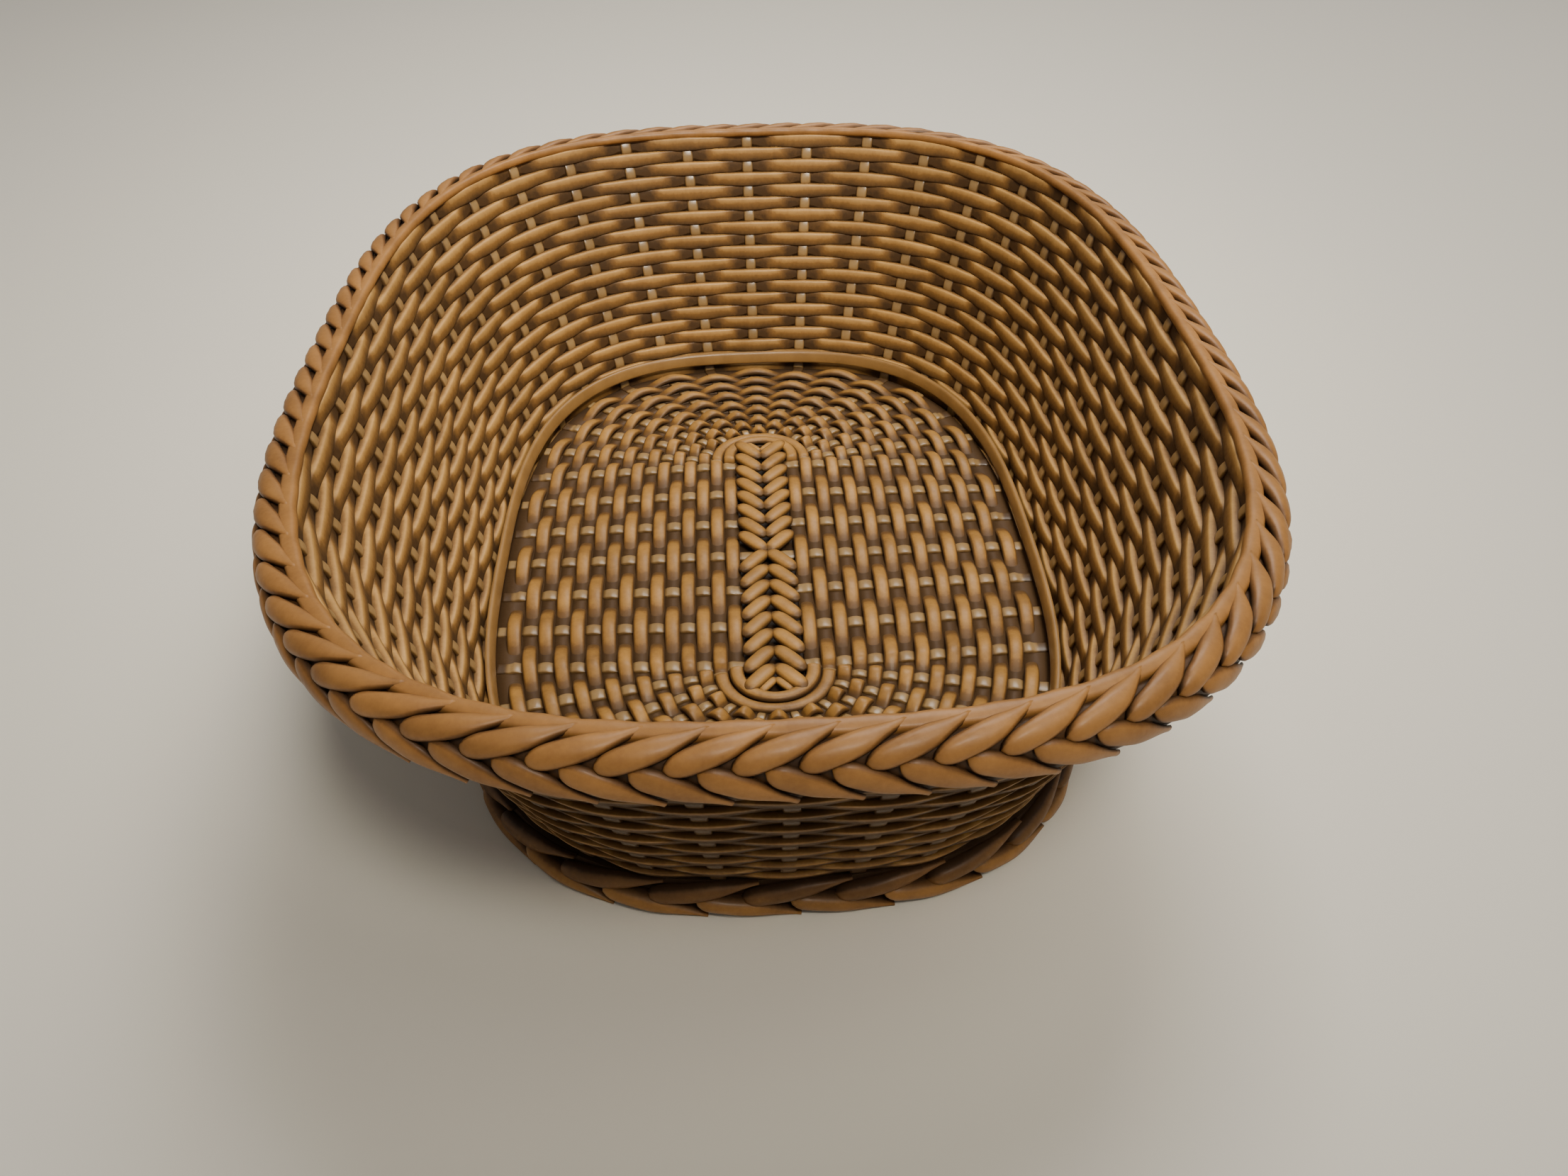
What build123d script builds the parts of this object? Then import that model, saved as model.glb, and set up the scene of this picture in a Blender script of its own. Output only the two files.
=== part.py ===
"""Oval bread basket: a stake-and-strand basket with a flared wall, a raised oval floor with a
plaited centre strip, a plaited rim border and a plaited foot border. Millimetres, +Z up, origin
on the table under the middle of the basket, Y along the long axis."""

import os
from bisect import bisect_left
from functools import lru_cache
from math import copysign, cos, hypot, pi, radians, sin

from build123d import *

# ---------------------------------------------------------------- driving dimensions
# Overall form: outer edges of the rim and of the foot, and the total height
RIM_HALF_LENGTH = 151.0
RIM_HALF_WIDTH = 115.7
HEIGHT = 93.0
FOOT_HALF_LENGTH = 116.0
FOOT_HALF_WIDTH = 86.0
OVAL_POWER = 2.9  # squareness of every oval: 2 is an ellipse

# Floor: the inner edge of the plain hoop round it, and the level of the woven floor
FLOOR_HALF_LENGTH = 109.8
FLOOR_HALF_WIDTH = 74.9
FLOOR_LEVEL = 16.6

# Weave
STAKE_COUNT = 40
STAKE_WIDTH = 3.6
STAKE_THICKNESS = 1.5
WEAVER_THICKNESS = 1.5
WEAVE_CLEARANCE = 0.3
WALL_ROWS = 21
ROW_GAP = 0.4
WAIST_IN = 2.2  # how much narrower the wall is at the foot than at the knee

# Floor weave
FLOOR_RINGS = 15
FLOOR_STICK_WIDTH = 3.6
FLOOR_STICK_THICKNESS = 1.4
FLOOR_WEAVER_THICKNESS = 1.5
FLOOR_CLEARANCE = 0.2
RING_FILL = 0.86  # share of the ring spacing that a floor weaver takes
FIRST_RING_SIDE_GAP = 2.1  # from the centre strip to the middle of the first ring
FIRST_RING_END_GAP = 2.0
STICK_END_GAP = 0.5  # from a floor stick's end to the wall
FLOOR_EDGE_GAP = 4.1  # from the plain hoop's inner edge to the last floor weaver's middle
CROSS_STICKS = 7
CROSS_STICK_PITCH = 15.8
FAN_TIP_SHARE = 0.62  # how much of its room a fan stick's inner tip takes

# Centre strip of the floor
STRIP_HALF_WIDTH = 8.0
STRIP_HALF_LENGTH = 58.6
STRIP_RODS = 16  # rods in each of the two columns
STRIP_ROD_WIDTH = 3.4
STRIP_ROD_THICKNESS = 2.2
STRIP_ROD_SLANT = 38.0  # degrees from straight across
STRIP_SIDE_GAP = 0.3  # from a rod's end to the strip's edge and middle line
STRIP_MIDDLE_GAP = 0.3  # from the strip's middle to its first rods
STRIP_CORE_THICKNESS = 1.7

# Plain hoop between floor and wall
HOOP_HEIGHT = 3.8
HOOP_THICKNESS = 1.6
HOOP_LEAN = 1.2  # how much wider the hoop is at its top edge
HOOP_TO_WALL = 0.3

# Rim border: it wraps the wall's top edge and hangs outside it. Places in its section are
# (distance out from the middle of the wall's top, distance down from the rim's top)
WALL_BELOW_RIM = 2.9
RIM_STRANDS = 76
RIM_STRAND_HEAD = 1.5  # radius
RIM_STRAND_TAIL = 0.95
RIM_STRAND_ADVANCE = 8.5  # how far round the rim a strand's tail is from its head
INNER_STRAND = ((5.2, 2.0), (0.3, 0.95))  # head, then tail
OUTER_STRAND = ((7.2, 6.1), (7.5, 12.8))
RIM_CORE_SIDE = ((5.2, 13.4), (5.2, 6.8), (4.2, 4.1))
BORDER_CLEARANCE = 0.25

# Foot border: two rows of strands round a flat core
FOOT_HEIGHT = 10.2
FOOT_CORE_THICKNESS = 4.6
FOOT_STRANDS = 30
FOOT_STRAND_RADIUS = 2.1
FOOT_STRAND_ADVANCE = 14.0
FOOT_STRAND_RISE = 0.7

# ---------------------------------------------------------------- sizes that follow
WALL_HALF_THICKNESS = STAKE_THICKNESS / 2 + WEAVE_CLEARANCE + WEAVER_THICKNESS
WEAVE_SWING = STAKE_THICKNESS / 2 + WEAVE_CLEARANCE + WEAVER_THICKNESS / 2
FLOOR_SWING = (FLOOR_STICK_THICKNESS + FLOOR_WEAVER_THICKNESS) / 2 + FLOOR_CLEARANCE
HOOP_BOTTOM = FLOOR_LEVEL + FLOOR_STICK_THICKNESS / 2 + FLOOR_CLEARANCE + FLOOR_SWING
WALL_BOTTOM = FOOT_HEIGHT + BORDER_CLEARANCE
WALL_TOP = HEIGHT - WALL_BELOW_RIM
ROW_PITCH = (WALL_TOP - WALL_BOTTOM) / WALL_ROWS
KNEE_LEVEL = HOOP_BOTTOM  # the wall starts to flare at the hoop's lower edge

FOOT_CORE_OUT = 2 * FOOT_STRAND_RADIUS + BORDER_CLEARANCE
KNEE_OUT = HOOP_THICKNESS + HOOP_TO_WALL + WALL_HALF_THICKNESS
KNEE_OVAL = (FLOOR_HALF_WIDTH + KNEE_OUT, FLOOR_HALF_LENGTH + KNEE_OUT)
FOOT_CORE_OVAL = (
    FOOT_HALF_WIDTH - FOOT_CORE_OUT - FOOT_CORE_THICKNESS / 2,
    FOOT_HALF_LENGTH - FOOT_CORE_OUT - FOOT_CORE_THICKNESS / 2,
)
RIM_REACH = OUTER_STRAND[0][0] + RIM_STRAND_HEAD
RIM_OVAL = (RIM_HALF_WIDTH - RIM_REACH, RIM_HALF_LENGTH - RIM_REACH)  # middle of the wall's top
# The wall stands on the foot's core, no wider than the knee above it
WAIST_OVAL = tuple(min(knee - WAIST_IN, foot + FOOT_CORE_THICKNESS / 2 - STAKE_THICKNESS / 2)
                   for knee, foot in zip(KNEE_OVAL, FOOT_CORE_OVAL))

POINTS_PER_STAKE = 3
STAKES_PER_SPAN = 2  # a ring's long edges are splines that each span this many stakes
RING_POINTS = STAKE_COUNT * POINTS_PER_STAKE
SPAN_POINTS = STAKES_PER_SPAN * POINTS_PER_STAKE


# ---------------------------------------------------------------- ovals
@lru_cache(maxsize=None)
def oval_table(half_width, half_length):
    """Points of a squarish oval with the arc length up to each, starting on +X."""
    steps = 1440
    points, lengths = [], [0.0]
    for step in range(steps + 1):
        angle = 2 * pi * step / steps
        c, s = cos(angle), sin(angle)
        points.append((half_width * copysign(abs(c) ** (2 / OVAL_POWER), c),
                       half_length * copysign(abs(s) ** (2 / OVAL_POWER), s)))
        if step:
            (x0, y0), (x1, y1) = points[-2:]
            lengths.append(lengths[-1] + hypot(x1 - x0, y1 - y0))
    return points, lengths


def oval_point(half_width, half_length, share):
    """Point of the oval at a share of its length round, with its outward normal."""
    points, lengths = oval_table(round(half_width, 4), round(half_length, 4))
    target = (share % 1.0) * lengths[-1]
    index = min(max(bisect_left(lengths, target), 1), len(points) - 1)
    (x0, y0), (x1, y1) = points[index - 1], points[index]
    part = (target - lengths[index - 1]) / (lengths[index] - lengths[index - 1])
    chord = hypot(x1 - x0, y1 - y0)
    return (x0 + (x1 - x0) * part, y0 + (y1 - y0) * part,
            (y1 - y0) / chord, -(x1 - x0) / chord)


def blend(low, high, part):
    """Value pair a part of the way from low to high."""
    return tuple(a + (b - a) * part for a, b in zip(low, high))


def wall_oval(level):
    """Half width and half length of the middle of the wall at a level."""
    if level <= KNEE_LEVEL:
        return blend(WAIST_OVAL, KNEE_OVAL, (level - WALL_BOTTOM) / (KNEE_LEVEL - WALL_BOTTOM))
    return blend(KNEE_OVAL, RIM_OVAL, (level - KNEE_LEVEL) / (WALL_TOP - KNEE_LEVEL))


def oval_curve(oval, level, out=0.0, count=RING_POINTS, swing=0.0, phase=0):
    """Closed line round an oval, pushed out, swinging in and out once for each two stakes."""
    line = []
    for step in range(count):
        share = step / count
        x, y, nx, ny = oval_point(*oval, share)
        reach = out + swing * cos(pi * (STAKE_COUNT * share + phase))
        line.append((x + nx * reach, y + ny * reach, level))
    return line


def edge_spans(line):
    """Splines that follow a closed line, a few stakes each, smooth where they meet."""
    points = [Vector(*point) for point in line]
    count = len(points)
    spans = []
    for start in range(0, count, SPAN_POINTS):
        end = start + SPAN_POINTS
        tangents = [points[(at + 1) % count] - points[at - 1] for at in (start, end % count)]
        spans.append(Edge.make_spline([points[at % count] for at in range(start, end + 1)],
                                      tangents=tangents))
    return spans


def closed_band(lines):
    """Closed solid ring whose four long edges are the given closed lines, in order."""
    sides = [edge_spans(line) for line in lines]
    faces = [Face.make_surface_from_curves(one, other)
             for side, beside in zip(sides, sides[1:] + sides[:1])
             for one, other in zip(side, beside)]
    return Solid(Shell(faces))


def finish(part_builder, label):
    """Label a piece and write it."""
    part_builder.part.label = label
    export_step(part_builder.part, f"parts/{label}.step")
    print(label, len(part_builder.part.solids()), round(part_builder.part.volume))


os.makedirs("parts", exist_ok=True)

# ---------------------------------------------------------------- wall stakes
# Uprights stand on the foot's core and reach the rim border, one solid each
STAKE_LEVELS = (WALL_BOTTOM, KNEE_LEVEL, WALL_TOP)


def stake_section(level, share):
    """Plane of a stake's section at a level, its X along the wall."""
    x, y, nx, ny = oval_point(*wall_oval(level), share)
    return Plane(origin=(x, y, level), x_dir=(-ny, nx, 0), z_dir=(0, 0, 1))


def wall_stake(share):
    """One upright, straight from the foot to the knee and from the knee to the rim."""
    with BuildPart() as stake:
        for low, high in zip(STAKE_LEVELS, STAKE_LEVELS[1:]):
            for level in (low, high):
                with BuildSketch(stake_section(level, share)):
                    Rectangle(STAKE_WIDTH, STAKE_THICKNESS)
            loft(ruled=True)
    return stake.part


stakes = [wall_stake(number / STAKE_COUNT) for number in range(STAKE_COUNT)]
with BuildPart() as wall_stakes:
    add(stakes)
finish(wall_stakes, "wall_stakes")

# ---------------------------------------------------------------- wall weavers
# Each row goes in front of one stake and behind the next, and the next row does the opposite
for row in range(WALL_ROWS):
    bottom = WALL_BOTTOM + row * ROW_PITCH + ROW_GAP / 2
    top = bottom + ROW_PITCH - ROW_GAP
    inner, outer = -WEAVER_THICKNESS / 2, WEAVER_THICKNESS / 2
    corners = ((bottom, inner), (bottom, outer), (top, outer), (top, inner))
    with BuildPart() as wall_weaver:
        add(closed_band([oval_curve(wall_oval(level), level, out, swing=WEAVE_SWING, phase=row)
                         for level, out in corners]))
    finish(wall_weaver, f"wall_weaver_{row + 1:02d}")

# ---------------------------------------------------------------- floor grid
# A floor stick runs straight from the first ring, round the centre strip, to the last ring
FIRST_RING_OUT = STRIP_HALF_WIDTH + FIRST_RING_SIDE_GAP
FIRST_RING_END = STRIP_HALF_LENGTH + FIRST_RING_END_GAP
LAST_RING = (FLOOR_HALF_WIDTH - FLOOR_EDGE_GAP, FLOOR_HALF_LENGTH - FLOOR_EDGE_GAP)
SIDE_STICKS = (CROSS_STICKS - 1) // 2  # on one side of the middle
QUARTER = STAKE_COUNT // 4


def first_ring_point(along):
    """Point of the first ring's quarter, a straight side and a round end, by stick number."""
    straight = FIRST_RING_END - FIRST_RING_OUT
    side_length = SIDE_STICKS * CROSS_STICK_PITCH
    total = straight + pi / 2 * FIRST_RING_OUT
    if along <= SIDE_STICKS:
        arc = along * CROSS_STICK_PITCH
    else:
        arc = side_length + (total - side_length) * (along - SIDE_STICKS) / (QUARTER - SIDE_STICKS)
    if arc <= straight:
        return FIRST_RING_OUT, arc
    turn = (arc - straight) / FIRST_RING_OUT
    return FIRST_RING_OUT * cos(turn), straight + FIRST_RING_OUT * sin(turn)


def floor_point(share, ring):
    """Point of the floor on a ring, 0 the first and 1 the last, at a share of the way round."""
    along = (share % 1.0) * STAKE_COUNT
    quadrant = int(along // QUARTER) % 4
    rest = along - quadrant * QUARTER
    folded = rest if quadrant % 2 == 0 else QUARTER - rest
    x, y = first_ring_point(folded)
    x *= 1 if quadrant in (0, 3) else -1
    y *= 1 if quadrant in (0, 1) else -1
    outer_x, outer_y = oval_point(*LAST_RING, share)[:2]
    return x + (outer_x - x) * ring, y + (outer_y - y) * ring


def floor_line(ring, level, swing, phase):
    """Closed line along a floor ring, rising and falling once for each two sticks."""
    line = []
    for step in range(RING_POINTS):
        share = step / RING_POINTS
        x, y = floor_point(share, ring)
        line.append((x, y, level + swing * cos(pi * (STAKE_COUNT * share + phase))))
    return line


# ---------------------------------------------------------------- floor weavers
RING_STEP = 1 / (FLOOR_RINGS - 1)
for ring in range(FLOOR_RINGS):
    inner, outer = (ring - RING_FILL / 2) * RING_STEP, (ring + RING_FILL / 2) * RING_STEP
    low, high = FLOOR_LEVEL - FLOOR_WEAVER_THICKNESS / 2, FLOOR_LEVEL + FLOOR_WEAVER_THICKNESS / 2
    with BuildPart() as floor_weaver:
        add(closed_band([floor_line(place, level, FLOOR_SWING, ring)
                         for place, level in ((inner, low), (outer, low), (outer, high),
                                              (inner, high))]))
    finish(floor_weaver, f"floor_weaver_{ring + 1:02d}")

# ---------------------------------------------------------------- floor sticks
STICK_BOTTOM = FLOOR_LEVEL - FLOOR_STICK_THICKNESS / 2
STICK_END_OVAL = tuple(half - WALL_HALF_THICKNESS - STICK_END_GAP
                       for half in wall_oval(FLOOR_LEVEL))
STICK_SEARCH_STEP = 0.05


def stick_frame(number):
    """Inner point, outer point and direction across for a floor stick."""
    share = number / STAKE_COUNT
    x0, y0 = floor_point(share, -RING_FILL / 2 * RING_STEP)
    x1, y1 = floor_point(share, 1.0)
    run = hypot(x1 - x0, y1 - y0)
    ux, uy = (x1 - x0) / run, (y1 - y0) / run
    # Lengthen the stick until its end reaches the oval just inside the wall
    reach = run
    while ((abs(x0 + ux * reach) / STICK_END_OVAL[0]) ** OVAL_POWER
           + (abs(y0 + uy * reach) / STICK_END_OVAL[1]) ** OVAL_POWER) < 1:
        reach += STICK_SEARCH_STEP
    return (x0, y0), (x0 + ux * reach, y0 + uy * reach), (-uy, ux)


def stick_outline(start, start_half, end, end_half, across):
    """Four corners of a tapered stick."""
    ax, ay = across
    return [(start[0] + ax * start_half, start[1] + ay * start_half),
            (end[0] + ax * end_half, end[1] + ay * end_half),
            (end[0] - ax * end_half, end[1] - ay * end_half),
            (start[0] - ax * start_half, start[1] - ay * start_half)]


# Sticks right across the floor pass under the centre strip
with BuildPart() as floor_cross_sticks:
    for number in range(-SIDE_STICKS, SIDE_STICKS + 1):
        (x0, y0), (x1, y1), _ = stick_frame(number)
        half = FLOOR_STICK_WIDTH / 2
        with BuildSketch(Plane.XY.offset(STICK_BOTTOM)):
            with BuildLine():
                Polyline((x1, y1 + half), (x0, y0 + half), (-x0, y0 + half), (-x1, y1 + half),
                         (-x1, y1 - half), (-x0, y0 - half), (x0, y0 - half), (x1, y1 - half),
                         close=True)
            make_face()
        extrude(amount=FLOOR_STICK_THICKNESS)
finish(floor_cross_sticks, "floor_cross_sticks")

# Sticks that fan out round each end of the strip taper to their inner tips
fan_numbers = [number for number in range(STAKE_COUNT)
               if abs((number + QUARTER) % (2 * QUARTER) - QUARTER) > SIDE_STICKS]
with BuildPart() as floor_fan_sticks:
    for number in fan_numbers:
        start, end, across = stick_frame(number)
        near = floor_point((number + 0.5) / STAKE_COUNT, 0)
        far = floor_point((number - 0.5) / STAKE_COUNT, 0)
        tip_half = FAN_TIP_SHARE / 2 * hypot(near[0] - far[0], near[1] - far[1])
        tip_half = min(tip_half, FLOOR_STICK_WIDTH / 2)
        with BuildSketch(Plane.XY.offset(STICK_BOTTOM)):
            with BuildLine():
                Polyline(*stick_outline(start, tip_half, end, FLOOR_STICK_WIDTH / 2, across),
                         close=True)
            make_face()
        extrude(amount=FLOOR_STICK_THICKNESS)
finish(floor_fan_sticks, "floor_fan_sticks")

# ---------------------------------------------------------------- centre strip
CORE_TOP = STICK_BOTTOM - FLOOR_CLEARANCE
with BuildPart() as floor_core_stick:
    with BuildSketch(Plane.XY.offset(CORE_TOP - STRIP_CORE_THICKNESS)):
        RectangleRounded(2 * STRIP_HALF_WIDTH, 2 * STRIP_HALF_LENGTH, STRIP_HALF_WIDTH / 2)
    extrude(amount=STRIP_CORE_THICKNESS)
finish(floor_core_stick, "floor_core_stick")

ROD_BOTTOM = FLOOR_LEVEL + FLOOR_STICK_THICKNESS / 2 + FLOOR_CLEARANCE
ROD_MIDDLE = STRIP_HALF_WIDTH / 2
slant = radians(STRIP_ROD_SLANT)
ROD_LENGTH = (STRIP_HALF_WIDTH - 2 * STRIP_SIDE_GAP) / cos(slant)
ROD_HALF_RISE = ROD_LENGTH / 2 * sin(slant)
ROD_PITCH = (STRIP_HALF_LENGTH - 2 * ROD_HALF_RISE) / (STRIP_RODS / 2)
ROD_END_PULL = ROD_HALF_RISE + STRIP_ROD_WIDTH / 2


def strip_column(side):
    """Places of the rods in one column; they lean away from the middle in both halves."""
    places = []
    for half in (1, -1):
        for step in range(STRIP_RODS // 2):
            y = half * (ROD_END_PULL + STRIP_MIDDLE_GAP + step * ROD_PITCH)
            places.append((side * ROD_MIDDLE, y, side * half * STRIP_ROD_SLANT))
    return places


for side, name in ((-1, "left"), (1, "right")):
    with BuildPart() as strip_plait:
        for x, y, turn in strip_column(side):
            with BuildSketch(Plane.XY.offset(ROD_BOTTOM)):
                with Locations((x, y)):
                    SlotOverall(ROD_LENGTH, STRIP_ROD_WIDTH, rotation=turn)
            extrude(amount=STRIP_ROD_THICKNESS)
    finish(strip_plait, f"centre_plait_{name}")

# ---------------------------------------------------------------- plain hoop round the floor
HOOP_OVAL = (FLOOR_HALF_WIDTH, FLOOR_HALF_LENGTH)
with BuildPart() as floor_hoop:
    hoop_top = HOOP_BOTTOM + HOOP_HEIGHT
    add(closed_band([oval_curve(HOOP_OVAL, HOOP_BOTTOM, 0.0),
                     oval_curve(HOOP_OVAL, HOOP_BOTTOM, HOOP_THICKNESS),
                     oval_curve(HOOP_OVAL, hoop_top, HOOP_THICKNESS + HOOP_LEAN),
                     oval_curve(HOOP_OVAL, hoop_top, HOOP_LEAN)]))
finish(floor_hoop, "floor_hoop")


# ---------------------------------------------------------------- borders
def border_point(oval, level, share, along, out, up):
    """Point near a border's middle line: a distance along it, out of it and up from it."""
    x, y, nx, ny = oval_point(*oval, share)
    return Vector(x + nx * out - ny * along, y + ny * out + nx * along, level + up)


def strand(head, tail, length):
    """A round-ended strand along Z, its head of one radius at the origin, its tail of another."""
    with BuildPart() as piece:
        with BuildSketch(Plane.XZ):
            with BuildLine():
                Line((0, -head), (0, length + tail))
                CenterArc((0, length), tail, 0, 90)
                Line((tail, length), (head, 0))
                CenterArc((0, 0), head, -90, 90)
            make_face()
        revolve(axis=Axis.Z)
    return piece.part


def strand_places(count, ends_at):
    """Where each strand of a row goes: its start, turned so that its Z runs to its end."""
    places = []
    for number in range(count):
        start, end = ends_at(number / count)
        places.append(Location(Plane(origin=start, z_dir=end - start)))
    return places


# The rim's core fills the space between the wall and the strands
WALL_SLOPE = (RIM_OVAL[1] - KNEE_OVAL[1]) / (WALL_TOP - KNEE_LEVEL)


def behind_core(down):
    """Corner of the rim core's section against the wall, at a distance down from the rim."""
    face = WALL_HALF_THICKNESS + BORDER_CLEARANCE
    return face - WALL_SLOPE * (down - WALL_BELOW_RIM), down


core_corners = [behind_core(RIM_CORE_SIDE[0][1]), *RIM_CORE_SIDE, behind_core(RIM_CORE_SIDE[-1][1])]
with BuildPart() as rim_core:
    add(closed_band([oval_curve(RIM_OVAL, HEIGHT - down, out) for out, down in core_corners]))
finish(rim_core, "rim_core")


def rim_strand_ends(share, ends):
    """Head and tail of a rim strand whose head is at a share of the way round."""
    return [border_point(RIM_OVAL, HEIGHT, share, along, out, -down)
            for along, (out, down) in zip((0.0, RIM_STRAND_ADVANCE), ends)]


for ends, name in ((INNER_STRAND, "inner"), (OUTER_STRAND, "outer")):
    (head_out, head_down), (tail_out, tail_down) = ends
    length = hypot(RIM_STRAND_ADVANCE, tail_out - head_out, tail_down - head_down)
    rim_strand = strand(RIM_STRAND_HEAD, RIM_STRAND_TAIL, length)
    with BuildPart() as rim_plait:
        with Locations(*strand_places(RIM_STRANDS, lambda share: rim_strand_ends(share, ends))):
            add(rim_strand)
    finish(rim_plait, f"rim_plait_{name}")

# The foot's core is a plain upright hoop with a flat underside, which the basket rests on
foot_outer, foot_inner = (edge_spans(oval_curve(FOOT_CORE_OVAL, 0.0, out))
                          for out in (FOOT_CORE_THICKNESS / 2, -FOOT_CORE_THICKNESS / 2))
with BuildPart() as foot_core:
    with BuildSketch():
        make_face(foot_outer)
        make_face(foot_inner, mode=Mode.SUBTRACT)
    extrude(amount=FOOT_HEIGHT)
finish(foot_core, "foot_core")

FOOT_STRAND_OUT = FOOT_CORE_THICKNESS / 2 + BORDER_CLEARANCE + FOOT_STRAND_RADIUS
FOOT_HEAD = FOOT_STRAND_RADIUS + BORDER_CLEARANCE / 2


def foot_strand_ends(share, side):
    """Head by the border's middle and tail by its edge, in the lower (-1) or upper (1) row."""
    head = FOOT_HEIGHT / 2 + side * FOOT_HEAD
    tail = head + side * FOOT_STRAND_RISE
    return [border_point(FOOT_CORE_OVAL, 0.0, share, along, FOOT_STRAND_OUT, up)
            for along, up in ((0.0, head), (FOOT_STRAND_ADVANCE, tail))]


for side, name in ((-1, "lower"), (1, "upper")):
    foot_strand = strand(FOOT_STRAND_RADIUS, FOOT_STRAND_RADIUS,
                         hypot(FOOT_STRAND_ADVANCE, FOOT_STRAND_RISE))
    with BuildPart() as foot_plait:
        with Locations(*strand_places(FOOT_STRANDS, lambda share: foot_strand_ends(share, side))):
            add(foot_strand)
    finish(foot_plait, f"foot_plait_{name}")
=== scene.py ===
"""Looks of the oval bread basket: woven wall and floor, plaited centre strip, rim and foot.

Every woven piece is first made flat, as a short pattern in the weave's own coordinates (stakes
counted along X, distance out of the wall or ring number in Y, height in Z). A Geometry Nodes
tree then repeats the pattern and lays it round the basket between ovals called rails.
Lengths are metres.
"""

import logging
import math
from dataclasses import dataclass, field
from enum import Enum
from typing import Sequence

import bpy
import numpy as np
from mathutils import Matrix, Vector


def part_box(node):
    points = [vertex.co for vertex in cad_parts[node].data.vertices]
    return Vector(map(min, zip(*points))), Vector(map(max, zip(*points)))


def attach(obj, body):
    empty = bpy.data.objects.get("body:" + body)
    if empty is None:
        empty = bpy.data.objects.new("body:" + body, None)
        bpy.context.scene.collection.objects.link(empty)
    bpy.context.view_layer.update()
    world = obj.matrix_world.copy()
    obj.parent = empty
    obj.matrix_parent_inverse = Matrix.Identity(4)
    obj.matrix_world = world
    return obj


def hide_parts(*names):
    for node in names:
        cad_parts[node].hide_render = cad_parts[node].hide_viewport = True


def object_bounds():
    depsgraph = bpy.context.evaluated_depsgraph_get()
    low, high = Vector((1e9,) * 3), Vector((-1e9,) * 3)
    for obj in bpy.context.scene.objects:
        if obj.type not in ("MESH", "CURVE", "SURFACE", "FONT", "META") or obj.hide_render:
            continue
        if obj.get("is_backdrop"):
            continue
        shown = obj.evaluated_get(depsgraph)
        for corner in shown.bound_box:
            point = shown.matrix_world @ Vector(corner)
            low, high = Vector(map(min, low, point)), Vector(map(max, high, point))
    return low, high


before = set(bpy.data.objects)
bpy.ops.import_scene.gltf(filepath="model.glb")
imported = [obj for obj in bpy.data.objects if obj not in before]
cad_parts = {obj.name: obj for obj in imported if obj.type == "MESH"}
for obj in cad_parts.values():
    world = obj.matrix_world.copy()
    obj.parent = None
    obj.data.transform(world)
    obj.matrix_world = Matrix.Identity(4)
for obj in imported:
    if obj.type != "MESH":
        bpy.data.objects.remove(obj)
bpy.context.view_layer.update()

LOG = logging.getLogger("bread_basket")
MM = 0.001
RAIL_POINTS = 960  # places on each rail
OVAL_STEPS = 14400  # fine steps that a rail's places are read from
MERGE_GAP = 0.008 * MM  # points closer than this become one
ROUND = 16  # points round a weaver, a stake or the hoop


def put(name: str, data: bpy.types.ID) -> bpy.types.Object:
    """Adds an object of the given data to the scene and returns it."""
    made = bpy.data.objects.new(name, data)
    bpy.context.scene.collection.objects.link(made)
    return made


# ------------------------------------------------------------------------------ finishes
class Tone(Enum):
    """Names of the basket's finishes."""

    WALL = "wall_weave"
    FLOOR = "floor_weave"
    STAKE = "stakes"
    PLAIT = "centre_plait"
    HOOP = "plain_hoop"
    RIM = "rim_plait"
    FOOT = "foot_plait"
    CORE = "hidden_core"


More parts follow.
